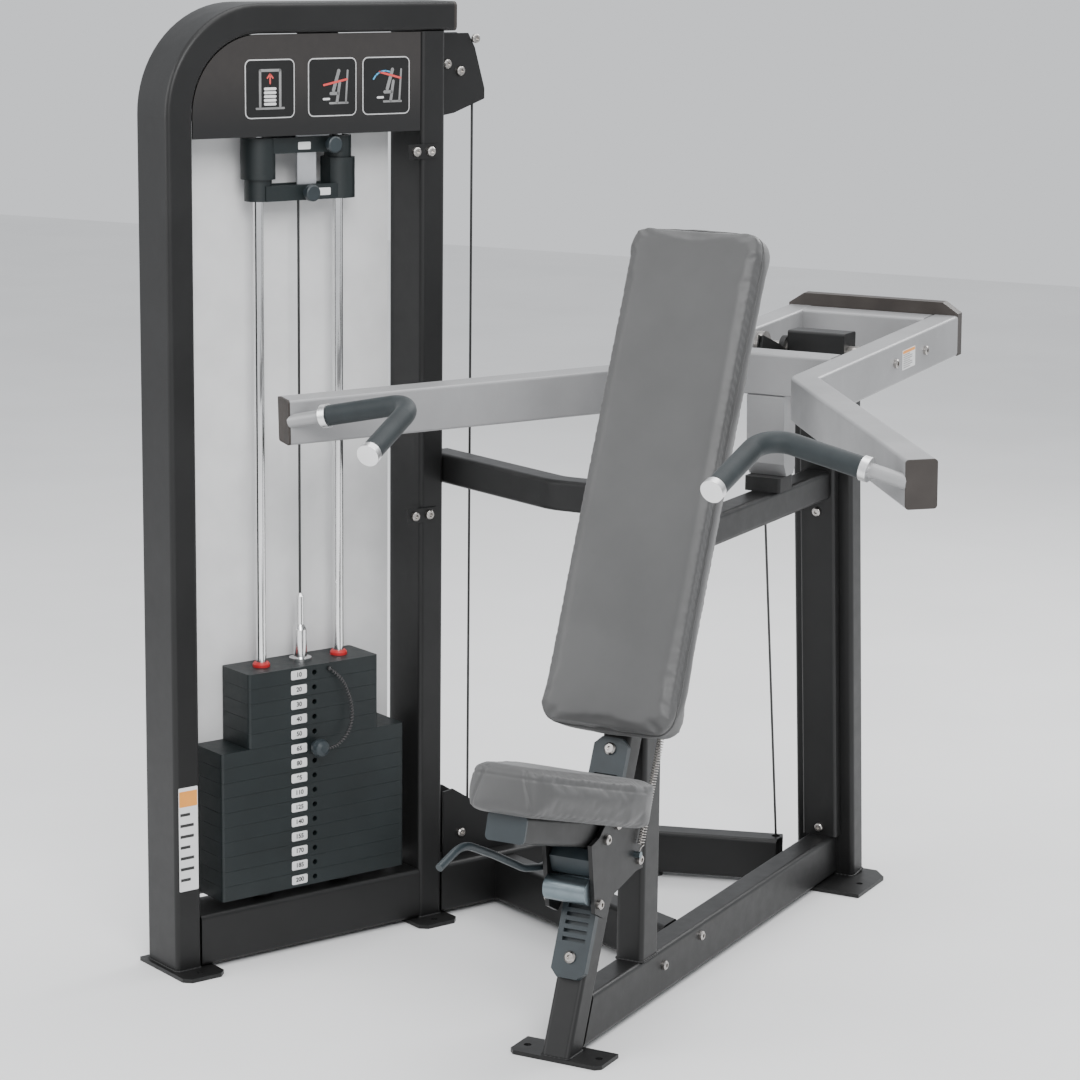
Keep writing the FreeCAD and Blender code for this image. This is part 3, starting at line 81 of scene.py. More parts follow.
def makeCamera():
    data = bpy.data.cameras.new("camera")
    data.lens = view["lens"]
    data.sensor_width = 36
    camera = bpy.data.objects.new("camera", data)
    bpy.context.scene.collection.objects.link(camera)
    level = math.cos(math.radians(view["tilt"]))
    heading = math.radians(view["heading"])
    fall = -math.sin(math.radians(view["tilt"]))
    look = Vector((-math.sin(heading) * level, math.cos(heading) * level, fall))
    turn = look.to_track_quat("-Z", "Y").to_matrix().to_4x4()
    camera.matrix_world = (Matrix.Translation(view["place"]) @ turn
                           @ Matrix.Rotation(math.radians(view["roll"]), 4, "Z"))
    bpy.context.scene.camera = camera


makeCamera()
print("camera placed")


# materials: each is two tones mixed by grain, with its own roughness and relief
# one node material in the making
class Finish:
    def __init__(self, name, metallic=0.0, coat=0.0, sheen=0.0, specular=0.5):
        self.material = bpy.data.materials.new(name)
        self.material.use_nodes = True
        self.tree = self.material.node_tree
        self.shader = self.tree.nodes["Principled BSDF"]
        self.shader.inputs["Metallic"].default_value = metallic
        self.shader.inputs["Coat Weight"].default_value = coat
        self.shader.inputs["Coat Roughness"].default_value = 0.25
        self.shader.inputs["Sheen Weight"].default_value = sheen
        self.shader.inputs["Specular IOR Level"].default_value = specular
        self.coordinates = self.add("ShaderNodeTexCoord").outputs["Object"]
        self.relief = None

    def add(self, kind, **settings):
        node = self.tree.nodes.new(kind)
        for key, value in settings.items():
            setattr(node, key, value)
        return node

    def link(self, start, end):
        self.tree.links.new(start, end)

    # fractal grain, drawn out along an axis where stretch is given
    def noise(self, scale, detail=4, rough=0.55, stretch=None):
        node = self.add("ShaderNodeTexNoise")
        node.inputs["Scale"].default_value = scale
        node.inputs["Detail"].default_value = detail
        node.inputs["Roughness"].default_value = rough
        source = self.coordinates
        if stretch:
            mapping = self.add("ShaderNodeMapping")
            mapping.inputs["Scale"].default_value = stretch
            self.link(source, mapping.inputs["Vector"])
            source = mapping.outputs["Vector"]
        self.link(source, node.inputs["Vector"])
        return node.outputs["Fac"]

    def cells(self, scale, feature="F1"):
        node = self.add("ShaderNodeTexVoronoi", feature=feature)
        node.inputs["Scale"].default_value = scale
        self.link(self.coordinates, node.inputs["Vector"])
        return node.outputs["Distance"]

    def ramp(self, source, low, high, start=0.35, end=0.65):
        node = self.add("ShaderNodeValToRGB")
        node.color_ramp.elements[0].position = start
        node.color_ramp.elements[1].position = end
        node.color_ramp.elements[0].color = colour(low)
        node.color_ramp.elements[1].color = colour(high)
        self.link(source, node.inputs["Fac"])
        return node.outputs["Color"]

    def mix(self, factor, first, second, blend="MIX"):
        node = self.add("ShaderNodeMix", data_type="RGBA", blend_type=blend)
        for socket, value in ((node.inputs[0], factor), (node.inputs[6], first), (node.inputs[7], second)):
            if isinstance(value, bpy.types.NodeSocket):
                self.link(value, socket)
            else:
                socket.default_value = value
        return node.outputs[2]

    def tone(self, source):
        self.link(source, self.shader.inputs["Base Color"])
        return self

    def gloss(self, source, low, high):
        node = self.add("ShaderNodeMapRange")
        node.inputs["To Min"].default_value = low
        node.inputs["To Max"].default_value = high
        self.link(source, node.inputs["Value"])
        self.link(node.outputs["Result"], self.shader.inputs["Roughness"])
        return self

    def bump(self, source, strength, distance):
        node = self.add("ShaderNodeBump")
        node.inputs["Strength"].default_value = strength
        node.inputs["Distance"].default_value = distance
        self.link(source, node.inputs["Height"])
        if self.relief:
            self.link(self.relief, node.inputs["Normal"])
        self.relief = node.outputs["Normal"]
        self.link(self.relief, self.shader.inputs["Normal"])
        return self


# grey or colour in linear light, from a number or a triple
def colour(value):
    if isinstance(value, (int, float)):
        value = (value, value, value)
    return (*value, 1)


# powder coat: soft mottling, fine orange peel and, if asked, rubbed patches
def powderCoat(name, low, high, rough, metallic=0.0, grain=420, wear=0.0, coat=0.0, specular=0.5):
    made = Finish(name, metallic, coat, specular=specular)
    base = made.ramp(made.noise(6, 5), low, high)
    if wear:
        rubs = made.ramp(made.noise(26, 8, 0.7, (1, 1, 0.35)), 0.0, 1.0, 0.60, 0.74)
        lighter = [min(1, part * 1.5 + 0.012) for part in colour(high)[:3]]
        base = made.mix(scaled(made, rubs, wear), base, colour(lighter))
    made.tone(base)
    made.gloss(made.noise(34, 6, 0.6), rough - 0.07, rough + 0.10)
    made.bump(made.noise(grain, 2, 0.4), 0.16, 0.0006)
    made.bump(made.noise(38, 3, 0.5), 0.05, 0.002)
    return made.material


def scaled(made, source, amount):
    node = made.add("ShaderNodeMath", operation="MULTIPLY")
    made.link(source, node.inputs[0])
    node.inputs[1].default_value = amount
    return node.outputs[0]


# painted cast plates: sandy skin under a satin coat, rubbed lighter in places
def castIron(name, low, high):
    made = Finish(name, specular=0.45)
    base = made.ramp(made.noise(11, 6), low, high)
    rubs = made.ramp(made.noise(60, 8, 0.75, (1, 1, 3)), 0.0, 1.0, 0.58, 0.78)
    made.tone(made.mix(scaled(made, rubs, 0.5), base, colour((0.022, 0.031, 0.033))))
    made.gloss(made.noise(48, 6, 0.6), 0.36, 0.58)
    made.bump(made.cells(700), 0.18, 0.0005)
    made.bump(made.noise(120, 5, 0.6), 0.14, 0.0010)
    return made.material


# bare or plated steel with fine drawn lines and a little haze
def turnedSteel(name, low, high, rough, stretch=(1, 1, 1), dirt=0.25):
    made = Finish(name, metallic=1.0)
    base = made.ramp(made.noise(9, 6), low, high)
    haze = made.ramp(made.noise(40, 7, 0.7), 0.0, 1.0, 0.5, 0.8)
    dull = [part * 0.55 for part in colour(low)[:3]]
    made.tone(made.mix(scaled(made, haze, dirt), base, colour(dull)))
    made.gloss(made.noise(300, 3, 0.6, stretch), rough - 0.05, rough + 0.12)
    made.bump(made.noise(600, 2, 0.5, stretch), 0.06, 0.0003)
    return made.material


# moulded plastic: fine spark grain with slight flow marks
def mouldedPlastic(name, low, high, rough, grain=900, relief=0.12, coat=0.0):
    made = Finish(name, coat=coat)
    made.tone(made.ramp(made.noise(14, 4, 0.5), low, high))
    made.gloss(made.noise(70, 5, 0.6), rough - 0.06, rough + 0.10)
    made.bump(made.cells(grain), relief, 0.0004)
    made.bump(made.noise(22, 3, 0.5), 0.03, 0.0015)
    return made.material


# upholstery vinyl: leather-like cell grain, slight shade change and a soft sheen
def vinylCover(name, low, high):
    made = Finish(name, sheen=0.12, specular=0.42)
    shade = made.ramp(made.noise(5, 5, 0.55), low, high)
    pores = made.ramp(made.cells(780, "DISTANCE_TO_EDGE"), 0.0, 1.0, 0.0, 0.10)
    made.tone(made.mix(scaled(made, pores, 0.22), made.mix(0.82, colour(0), shade), shade))
    made.gloss(made.noise(90, 6, 0.6), 0.38, 0.56)
    made.bump(made.cells(780, "DISTANCE_TO_EDGE"), 0.22, 0.0005)
    made.bump(made.noise(26, 4, 0.5), 0.07, 0.0030)
    return made.material


# rubber or foam: matt, finely pitted
def rubberSkin(name, low, high, rough, ribs=0.0):
    made = Finish(name, specular=0.35, sheen=0.06)
    made.tone(made.ramp(made.noise(18, 5), low, high))
    made.gloss(made.noise(55, 5, 0.6), rough - 0.08, rough + 0.08)
    made.bump(made.cells(1300), 0.20, 0.0004)
    made.bump(made.noise(160, 4, 0.6), 0.12 + ribs, 0.0008)
    return made.material


# plywood stained near black: long grain that still shows
def plywoodBoard(name):
    made = Finish(name, specular=0.3)
    grain = made.noise(26, 8, 0.65, (6, 0.8, 6))
    base = made.ramp(grain, (0.016, 0.013, 0.011), (0.030, 0.025, 0.021))
    made.tone(base)
    made.gloss(grain, 0.55, 0.75)
    made.bump(made.noise(240, 4, 0.6, (4, 0.7, 4)), 0.2, 0.0006)
    return made.material


# cable jacket: smooth extruded nylon with faint lay of the strands beneath
def braidedJacket(name, low, high, rough):
    made = Finish(name, specular=0.5, coat=0.15)
    made.tone(made.ramp(made.noise(30, 4), low, high))
    made.gloss(made.noise(120, 4, 0.6), rough - 0.06, rough + 0.08)
    made.bump(made.noise(900, 3, 0.6, (1, 1, 0.4)), 0.22, 0.0004)
    return made.material


# printed sign: near-black field with painted light that opens to a warm grey towards its middle, lighter with
# height
def signPrint(name):
    made = Finish(name, coat=0.3)
    split = made.add("ShaderNodeSeparateXYZ")
    made.link(made.coordinates, split.inputs["Vector"])
    height = made.add("ShaderNodeMapRange")
    height.inputs["From Min"].default_value = 1.60
    height.inputs["From Max"].default_value = 1.72
    made.link(split.outputs["Z"], height.inputs["Value"])
    # painted light: the field turns from near-black to warm grey as the height rises from 1.60 to 1.72
    paintedLightField = made.ramp(height.outputs["Result"], (0.0020, 0.0018, 0.0018), (0.021, 0.0175, 0.0158), 0.10, 0.95)
    speck = made.ramp(made.noise(60, 5), 0.86, 1.0)
    made.tone(made.mix(1.0, paintedLightField, speck, "MULTIPLY"))
    made.gloss(made.noise(40, 4), 0.26, 0.38)
    made.bump(made.noise(500, 2, 0.4), 0.08, 0.0003)
    return made.material


finishes = {
    "frame_paint": powderCoat("satin black powder coat", 0.0065, 0.0095, 0.42, wear=0.18, specular=0.38),
    "silver_paint": powderCoat("silver powder coat", (0.265, 0.265, 0.268), (0.31, 0.31, 0.315), 0.40,
                               metallic=0.25, grain=520, wear=0.15),
    "stack_iron": castIron("painted stack iron", (0.0060, 0.0098, 0.0104), (0.0090, 0.0140, 0.0150)),
    "chrome_steel": turnedSteel("chromed rod", 0.78, 0.86, 0.10, (1, 1, 12), 0.10),
    "bright_steel": turnedSteel("plated fastener steel", (0.36, 0.34, 0.32), (0.50, 0.48, 0.46), 0.26,
                                (1, 1, 1), 0.30),
    "zinc_steel": turnedSteel("zinc plate", (0.62, 0.63, 0.65), (0.74, 0.75, 0.77), 0.34, (1, 1, 4), 0.20),
    "red_plastic": mouldedPlastic("red rod bush", (0.46, 0.018, 0.022), (0.62, 0.032, 0.034), 0.36),
    "black_rubber": rubberSkin("black rubber", 0.010, 0.018, 0.72),
    "grip_rubber": rubberSkin("slate grip foam", (0.010, 0.0145, 0.0165), (0.0155, 0.0215, 0.0240), 0.58),
    "white_aluminium": turnedSteel("satin aluminium", 0.80, 0.88, 0.30, (1, 1, 1), 0.12),
    "grey_vinyl": vinylCover("grey vinyl", 0.066, 0.080),
    "plywood": plywoodBoard("stained plywood"),
    "slate_plastic": mouldedPlastic("slate plastic", (0.015, 0.022, 0.026), (0.022, 0.031, 0.036), 0.40),
    "white_plastic": mouldedPlastic("white shroud plastic", 0.72, 0.78, 0.42, 600, 0.06),
    "sign_plastic": signPrint("printed sign with painted light"),
    "cap_plastic": mouldedPlastic("brown-black cap plastic", (0.026, 0.021, 0.018), (0.040, 0.033, 0.029),
                                  0.50),
    "cable_jacket": braidedJacket("black cable jacket", 0.010, 0.018, 0.36),
    "pulley_nylon": mouldedPlastic("black pulley nylon", 0.014, 0.022, 0.46),
}
latchSteel = turnedSteel("blued latch barrel", (0.16, 0.20, 0.22), (0.24, 0.28, 0.30), 0.30, (1, 1, 1), 0.20)
cordGrey = braidedJacket("grey curly cord", (0.040, 0.037, 0.038), (0.060, 0.056, 0.057), 0.42)
for name, node in nodes.items():
    node.data.materials.clear()
    node.data.materials.append(latchSteel if name == "carriage_rollers" else finishes[slotOf[name]])
    for polygon in node.data.polygons:
        polygon.material_index = 0
print("finishes:", len(finishes))


# ways of making a piece
# an object with its place in its mesh and its finish, the finish of the record's slot unless another is given
def finished(name, mesh, slot, material=None, smooth=30):
    piece = bpy.data.objects.new(name, mesh)
    bpy.context.scene.collection.objects.link(piece)
    mesh.materials.clear()
    mesh.materials.append(material or finishes[slot])
    if smooth:
        mesh.shade_smooth()
        mesh.set_sharp_from_angle(angle=math.radians(smooth))
    return piece


def toMesh(shape, name):
    mesh = bpy.data.meshes.new(name)
    bmesh.ops.recalc_face_normals(shape, faces=shape.faces)
    shape.to_mesh(mesh)
    shape.free()
    return mesh


# put a finished small shape into a larger one, at its place
def addInto(shape, made, place):
    bmesh.ops.transform(made, matrix=place, verts=made.verts)
    mesh = toMesh(made, "small shape")
    shape.from_mesh(mesh)
    bpy.data.meshes.remove(mesh)


# block with rounded corners standing on its base plane, local z its thickness
def addRoundBlock(shape, place, size, corner, segments=5, edge=0.0):
    made = bmesh.new()
    bmesh.ops.create_cube(made, size=1)
    bmesh.ops.scale(made, vec=size, verts=made.verts)
    bmesh.ops.translate(made, vec=(0, 0, size[2] / 2), verts=made.verts)
    upright = [e for e in made.edges if (e.verts[0].co - e.verts[1].co).xy.length < 1e-7]
    bmesh.ops.bevel(made, geom=upright, offset=corner, segments=segments, profile=0.5, affect="EDGES",
                    material=-1)
    if edge:
        rim = [e for e in made.edges if all(abs(v.co.z - size[2]) < 1e-7 for v in e.verts)]
        bmesh.ops.bevel(made, geom=rim, offset=edge, segments=2, profile=0.5, affect="EDGES", material=-1)
    addInto(shape, made, place)


# turned piece about its own z, from pairs of radius and height
def addTurned(shape, place, profile, steps=32):
    made = bmesh.new()
    ring = [made.verts.new((radius, 0, height)) for radius, height in profile]
    edges = [made.edges.new(pair) for pair in zip(ring, ring[1:])]
    bmesh.ops.spin(made, geom=ring + edges, cent=(0, 0, 0), axis=(0, 0, 1), angle=2 * math.pi, steps=steps,
                   use_merge=True)
    bmesh.ops.remove_doubles(made, verts=made.verts, dist=1e-6)
    addInto(shape, made, place)


# smooth open curve through its control points, round if a radius is given
def splineCurve(name, points, radius=0.0, resolution=12):
    data = bpy.data.curves.new(name, "CURVE")
    data.dimensions = "3D"
    data.resolution_u = resolution
    data.bevel_depth = radius
    data.bevel_resolution = 4
    data.use_fill_caps = radius > 0
    spline = data.splines.new("NURBS")
    spline.points.add(len(points) - 1)
    for point, place in zip(spline.points, points):
        point.co = (*place, 1)
    spline.order_u = 3
    spline.use_endpoint_u = True
    curve = bpy.data.objects.new(name, data)
    bpy.context.scene.collection.objects.link(curve)
    return curve


# the curve's own line as points, and the curve taken away
def pointsOf(curve):
    bpy.context.view_layer.update()
    mesh = bpy.data.meshes.new_from_object(curve)
    points = [v.co.copy() for v in mesh.vertices]
    bpy.data.objects.remove(curve)
    bpy.data.meshes.remove(mesh)
    return points


# round bar or cord that follows a list of points, as a mesh
def tubeAlong(name, points, radius, slot, material=None, resolution=3):
    curve = splineCurve(name + "_line", points, radius, resolution)
    bpy.context.view_layer.update()
    mesh = bpy.data.meshes.new_from_object(curve)
    bpy.data.objects.remove(curve)
    mesh.name = name
    shape = bmesh.new()
    shape.from_mesh(mesh)
    bmesh.ops.remove_doubles(shape, verts=shape.verts, dist=1e-7)
    bmesh.ops.recalc_face_normals(shape, faces=shape.faces)
    shape.to_mesh(mesh)
    shape.free()
    return finished(name, mesh, slot, material, 60)


# closed ring of round section through its spots, its thickness swelling where asked
def closedRing(name, spots, radius, swell=None):
    data = bpy.data.curves.new(name, "CURVE")
    data.dimensions = "3D"
    data.bevel_depth = radius
    data.bevel_resolution = 2
    spline = data.splines.new("POLY")
    spline.points.add(len(spots) - 1)
    for index, (point, spot) in enumerate(zip(spline.points, spots)):
        point.co = (*spot, 1)
        point.radius = swell[index] if swell else 1
    spline.use_cyclic_u = True
    curve = bpy.data.objects.new(name + "_line", data)
    bpy.context.scene.collection.objects.link(curve)
    bpy.context.view_layer.update()
    mesh = bpy.data.meshes.new_from_object(curve)
    bpy.data.objects.remove(curve)
    return mesh


# curly cord from the head plate to the selector pin
curly = {"turns": 34, "pointsPerTurn": 12, "coil": 0.0024, "wire": 0.0011, "clearEnd": 0.05}
cordRoute = [(0.034, 0.004, stack["top"] - 0.012), (0.052, 0.011, stack["top"] - 0.027),
             (0.066, 0.014, stack["top"] - 0.052), (0.077, 0.014, stack["top"] - 0.082),
             (0.080, 0.015, stack["top"] - 0.112), (0.071, 0.017, stack["top"] - 0.139),
             (0.054, 0.018, stack["top"] - 0.157), (0.035, 0.020, stack["top"] - 0.167),
             (0.018, 0.020, stack["pin"] - 0.004)]


def makeCurlyCord():
    route = [towerFrame @ Vector((stack["centre"] + x, stack["face"] - y, z)) for x, y, z in cordRoute]
    line = pointsOf(splineCurve("cord_line", route))
    reach = [0.0]
    for first, second in zip(line, line[1:]):
        reach.append(reach[-1] + (second - first).length)
    helix = []
    side = Vector((0, 0, 1))
    total = curly["turns"] * curly["pointsPerTurn"]
    for step in range(total + 1):
        share = step / total
        along = share * reach[-1]
        index = min(range(len(reach) - 1), key=lambda i: 0 if reach[i] <= along <= reach[i + 1] else 1)
        run = reach[index + 1] - reach[index] or 1
        centre = line[index].lerp(line[index + 1], (along - reach[index]) / run)
        ahead = (line[min(index + 2, len(line) - 1)] - line[max(index - 1, 0)]).normalized()
        side = (side - ahead * side.dot(ahead)).normalized()
        across = ahead.cross(side)
        fade = min(1, share / curly["clearEnd"], (1 - share) / curly["clearEnd"])
        turn = 2 * math.pi * step / curly["pointsPerTurn"]
        helix.append(centre + (side * math.cos(turn) + across * math.sin(turn)) * curly["coil"] * fade)
    cord = tubeAlong("curly_cord_coil", helix, curly["wire"], "cable_jacket", cordGrey, 2)
    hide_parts("curly_cord")
    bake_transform(cord)

    # moulded eyelets at both ends
    for place, body in ((helix[0], "lifted_stack"), (helix[-1], "selector_pin")):
        shape = bmesh.new()
        addTurned(shape, Matrix.Translation(place) @ towerFrame.to_3x3().to_4x4() @ facingUser
                  @ Matrix.Translation((0, 0, -0.004)),
                  [(0, 0), (0.0042, 0), (0.0050, 0.001), (0.0050, 0.0035), (0.0040, 0.0055), (0.0022, 0.007),
                   (0, 0.0072)], 20)
        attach(finished("cord_eyelet_" + body, toMesh(shape, "cord_eyelet"), "cable_jacket"), body)


makeCurlyCord()


# padded pieces
cover = {"quality": 5, "mass": 0.35, "stretch": 18, "bend": 2.0, "frames": 20}


# a stuffed cover that wraps its board, blown up inside its hard outline
def swollen(name, node, shrink, wrap, pressure, cap, voxel):
    mesh = nodes[node].data.copy()
    piece = bpy.data.objects.new(name, mesh)
    bpy.context.scene.collection.objects.link(piece)
    mesh.materials.clear()
    shape = bmesh.new()
    shape.from_mesh(mesh)
    bmesh.ops.remove_doubles(shape, verts=shape.verts, dist=1e-5)
    shape.to_mesh(mesh)
    shape.free()
    centre = sum((Vector(c) for c in piece.bound_box), Vector()) / 8
    place = seatFrame if node == "seat_pad" else leanFrame
    inside = place.inverted()
    low = Vector(min((inside @ v.co)[i] for v in mesh.vertices) for i in range(3))
    high = Vector(max((inside @ v.co)[i] for v in mesh.vertices) for i in range(3))
    middle, size = (low + high) / 2, (high - low) / 2
    low, high = low + wrap[0], high + wrap[1]
    newMiddle, newSize = (low + high) / 2, (high - low) / 2 - Vector(shrink)
    for vert in mesh.vertices:
        local = inside @ vert.co - middle
        vert.co = place @ (Vector(local[i] * newSize[i] / size[i] for i in range(3)) + newMiddle)
    apply(piece, "REMESH", mode="VOXEL", voxel_size=voxel)
    rest = [v.co.copy() for v in piece.data.vertices]
    cloth = piece.modifiers.new("cover", "CLOTH")
    cloth.settings.quality = cover["quality"]
    cloth.settings.mass = cover["mass"]
    cloth.settings.tension_stiffness = cover["stretch"]
    cloth.settings.compression_stiffness = cover["stretch"]
    cloth.settings.bending_stiffness = cover["bend"]
    cloth.settings.use_pressure = True
    cloth.settings.uniform_pressure_force = pressure
    cloth.settings.effector_weights.gravity = 0
    cloth.collision_settings.use_collision = False
    cloth.point_cache.frame_start = 1
    cloth.point_cache.frame_end = cover["frames"]
    for step in range(1, cover["frames"] + 1):
        bpy.context.scene.frame_set(step)
    graph = bpy.context.evaluated_depsgraph_get()
    blown = bpy.data.meshes.new_from_object(piece.evaluated_get(graph))
    piece.modifiers.clear()
    bpy.context.scene.frame_set(1)
    for vert, start, moved in zip(piece.data.vertices, rest, blown.vertices):
        step = moved.co - start
        vert.co = start + step * min(1, cap / max(step.length, 1e-9))
    bpy.data.meshes.remove(blown)
    print("stuffed", name, len(piece.data.vertices), "points", tuple(round(c, 3) for c in centre))
    return piece, place, low, high


# add a modifier and put its result into the mesh
def apply(piece, kind, **settings):
    modifier = piece.modifiers.new("shape", kind)
    for key, value in settings.items():
        setattr(modifier, key, value)
    graph = bpy.context.evaluated_depsgraph_get()
    mesh = bpy.data.meshes.new_from_object(piece.evaluated_get(graph))
    piece.modifiers.clear()
    piece.data = mesh


def smoothed(piece, rounds):
    shape = bmesh.new()
    shape.from_mesh(piece.data)
    for _ in range(rounds):
        bmesh.ops.smooth_vert(shape, verts=shape.verts, factor=0.5, use_axis_x=True, use_axis_y=True,
                              use_axis_z=True)
    shape.to_mesh(piece.data)
    shape.free()


# 1 at nothing, falling smoothly to 0 at width
def ease(value, width):
    share = max(0.0, 1 - abs(value) / width)
    return share * share * (3 - 2 * share)


backCushion = {"shrink": (0.003, 0.002, 0.003), "wrap": (Vector(), Vector((0, 0.0105, 0))), "pressure": 3.0,
               "cap": 0.006, "voxel": 0.0055, "seamInset": 0.021, "seamDepth": 0.0022,
               "pleatPitch": 0.019, "pleatDepth": 0.0016, "corner": 0.036}
seatCushion = {"shrink": (0.002, 0.002, 0.002), "wrap": (Vector((0, 0, -0.0072)), Vector()), "pressure": 3.0,
               "cap": 0.006, "voxel": 0.005, "seamDepth": 0.0022, "seamWidth": 0.0055}


def makeBackCushion():
    piece, place, low, high = swollen("back_cushion", "back_pad", backCushion["shrink"], backCushion["wrap"],
                                      backCushion["pressure"], backCushion["cap"], backCushion["voxel"])
    smoothed(piece, 2)
    apply(piece, "SUBSURF", levels=1, render_levels=1)
    inside = place.inverted()
    middle = (low + high) / 2
    half = (high - low) / 2
    piece.data.update()
    normals = [v.normal.copy() for v in piece.data.vertices]
    for vert, normal in zip(piece.data.vertices, normals):
        local = inside @ vert.co
        toSide = half.x - abs(local.x - middle.x)
        toEnd = half.z - abs(local.z - middle.z)
        sink = 0.0
        faceSeam = ease(local.y - (low.y + backCushion["seamInset"]), 0.0045)
        rim = 1 if min(toSide, toEnd) < 0.02 else 0
        sink += backCushion["seamDepth"] * faceSeam * rim
        if toSide < 0.034 and toEnd > 0.05:  # gathers along the long edges, between face and side panel
            near = ease(local.y - (low.y + backCushion["seamInset"] - 0.007), 0.013)
            wave = math.sin(2 * math.pi * (local.z + 0.5 * local.y) / backCushion["pleatPitch"]
                            + 2.2 * noise.noise(Vector((0, 0, local.z * 9))))
            sink += backCushion["pleatDepth"] * near * (0.5 + 0.5 * wave) * min(1, (toEnd - 0.05) / 0.05)
        backSeam = ease(local.y - (high.y - 0.008), 0.004)
        sink += 0.0012 * backSeam * rim
        vert.co -= normal * sink
    dressed(piece, "back_pad", "frame")
    loop = [(x, low.y + backCushion["seamInset"], z) for x, z in
            roundedLoop(middle.x, middle.z, half.x, half.z, backCushion["corner"])]
    addSeamThreads("back_seam_cord", onCushion(piece, [place @ Vector(spot) for spot in loop]), "frame")
    addInsetBoard("back_board_panel", "back_pad_board", place, (middle.x, high.y - 0.0005, middle.z),
                  (half.x * 2 - 0.050, half.z * 2 - 0.050), 0.0022, "frame")


# points round a rectangle with rounded corners
def roundedLoop(x, z, halfWidth, halfHeight, corner, steps=8):
    loop = []
    for turn, (sx, sz) in enumerate(((1, 1), (-1, 1), (-1, -1), (1, -1))):
        for step in range(steps + 1):
            angle = math.radians(90 * turn + 90 * step / steps)
            loop.append((x + sx * (halfWidth - corner) + corner * math.cos(angle),
                         z + sz * (halfHeight - corner) + corner * math.sin(angle)))
    return loop


# a closed run of spots filled in evenly and laid on a cushion's skin
def onCushion(piece, spots, spacing=0.006):
    filled = []
    for first, second in zip(spots, spots[1:] + spots[:1]):
        count = max(1, round((second - first).length / spacing))
        filled += [first.lerp(second, step / count) for step in range(count)]
    return [piece.closest_point_on_mesh(spot)[1] for spot in filled]


# board let into the back of a pad, behind the turned-in cover
def addInsetBoard(name, node, place, middle, size, thickness, body):
    shape = bmesh.new()
    turn = Matrix.Rotation(math.radians(-90), 4, "X") if body == "frame" else Matrix.Rotation(math.pi, 4, "X")
    addRoundBlock(shape, place @ Matrix.Translation(middle) @ turn, (*size, thickness), 0.022, 6, 0.0006)
    piece = finished(name, toMesh(shape, name), "plywood")
    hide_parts(node)
    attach(piece, body)


# thin piping laid in a seam, a closed ring
def addSeamThreads(name, loop, body, radius=0.0010):
    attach(finished(name, closedRing(name, loop, radius), "grey_vinyl"), body)


# give a stuffed piece its cover and put it in place of the plain solid
def dressed(piece, node, body):
    piece.data.materials.clear()
    piece.data.materials.append(finishes["grey_vinyl"])
    piece.data.shade_smooth()
    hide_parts(node)
    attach(piece, body)


def makeSeatCushion():
    piece, place, low, high = swollen("seat_cushion", "seat_pad", seatCushion["shrink"], seatCushion["wrap"],
                                      seatCushion["pressure"], seatCushion["cap"], seatCushion["voxel"])
    smoothed(piece, 2)
    apply(piece, "SUBSURF", levels=1, render_levels=1)
    inside = place.inverted()
    top = high.z - 0.016
    piece.data.update()
    normals = [v.normal.copy() for v in piece.data.vertices]
    for vert, normal in zip(piece.data.vertices, normals):
        local = inside @ vert.co
        steep = abs((inside.to_3x3() @ normal).z) < 0.85
        sink = 0.0
        if steep:
            sink += 0.6 * seatCushion["seamDepth"] * ease(local.z - top, 0.004)
        front = local.y - low.y
        for side in (1, -1):  # curved seams where the front panel meets the side panels
            seamX = side * (0.048 + 0.010 * math.cos(math.pi * (local.z - low.z) / (high.z - low.z)))
            if front < 0.10 and local.x * side > 0.02:
                sink += seatCushion["seamDepth"] * ease(local.x - seamX, seatCushion["seamWidth"]) * steep
        vert.co -= normal * sink
    dressed(piece, "seat_pad", "seat_carriage")
    addInsetBoard("seat_board_panel", "seat_board", place, (0, (low.y + high.y) / 2 + 0.02, low.z + 0.0006),
                  (0.120, 0.230), 0.0008, "seat_carriage")


makeBackCushion()
makeSeatCushion()


# coil spring beside the post, from its stud up to the lug
spring = {"x": 0.0585, "y": 0.066, "low": 0.4005, "high": 0.6495, "radius": 0.0058, "wire": 0.00115,
          "turns": 46}


def makeSeatSpring():
    points = []
    steps = 10
    total = spring["turns"] * steps
    hook = 0.012
    bottom, top = spring["low"] + hook, spring["high"] - hook
    points.append((spring["x"], spring["y"], spring["low"]))
    points.append((spring["x"], spring["y"], spring["low"] + 0.006))
    for step in range(total + 1):
        turn = 2 * math.pi * step / steps
        points.append((spring["x"] + spring["radius"] * math.cos(turn),
                       spring["y"] + spring["radius"] * math.sin(turn),
                       bottom + (top - bottom) * step / total))
    points.append((spring["x"], spring["y"], spring["high"] - 0.006))
    points.append((spring["x"], spring["y"], spring["high"]))
    piece = tubeAlong("seat_spring_coil", [leanFrame @ Vector(p) for p in points], spring["wire"],
                      "bright_steel", None, 2)
    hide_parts("seat_spring")
    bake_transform(piece)


makeSeatSpring()


# the stretch of cable above the stack
stackCable = {"radius": 0.0025, "steps": 24}


def makeStackCable():
    low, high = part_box("cable_stack_run")
    middle = (low + high) / 2
    rise = (high.z - low.z) / stackCable["steps"]
    points = [Vector((middle.x, middle.y, low.z + rise * step)) for step in range(stackCable["steps"] + 1)]
    piece = tubeAlong("stack_cable", points, stackCable["radius"], "cable_jacket")
    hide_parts("cable_stack_run")
    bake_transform(piece)


makeStackCable()


# cable laid in the cam's groove, so that it stays whole as the arm rises
camCable = {"x": -0.078, "pivot": (1.150, 1.142), "radius": 0.130, "cable": 0.0025, "lowest": 42,
            "highest": -12, "steps": 18}


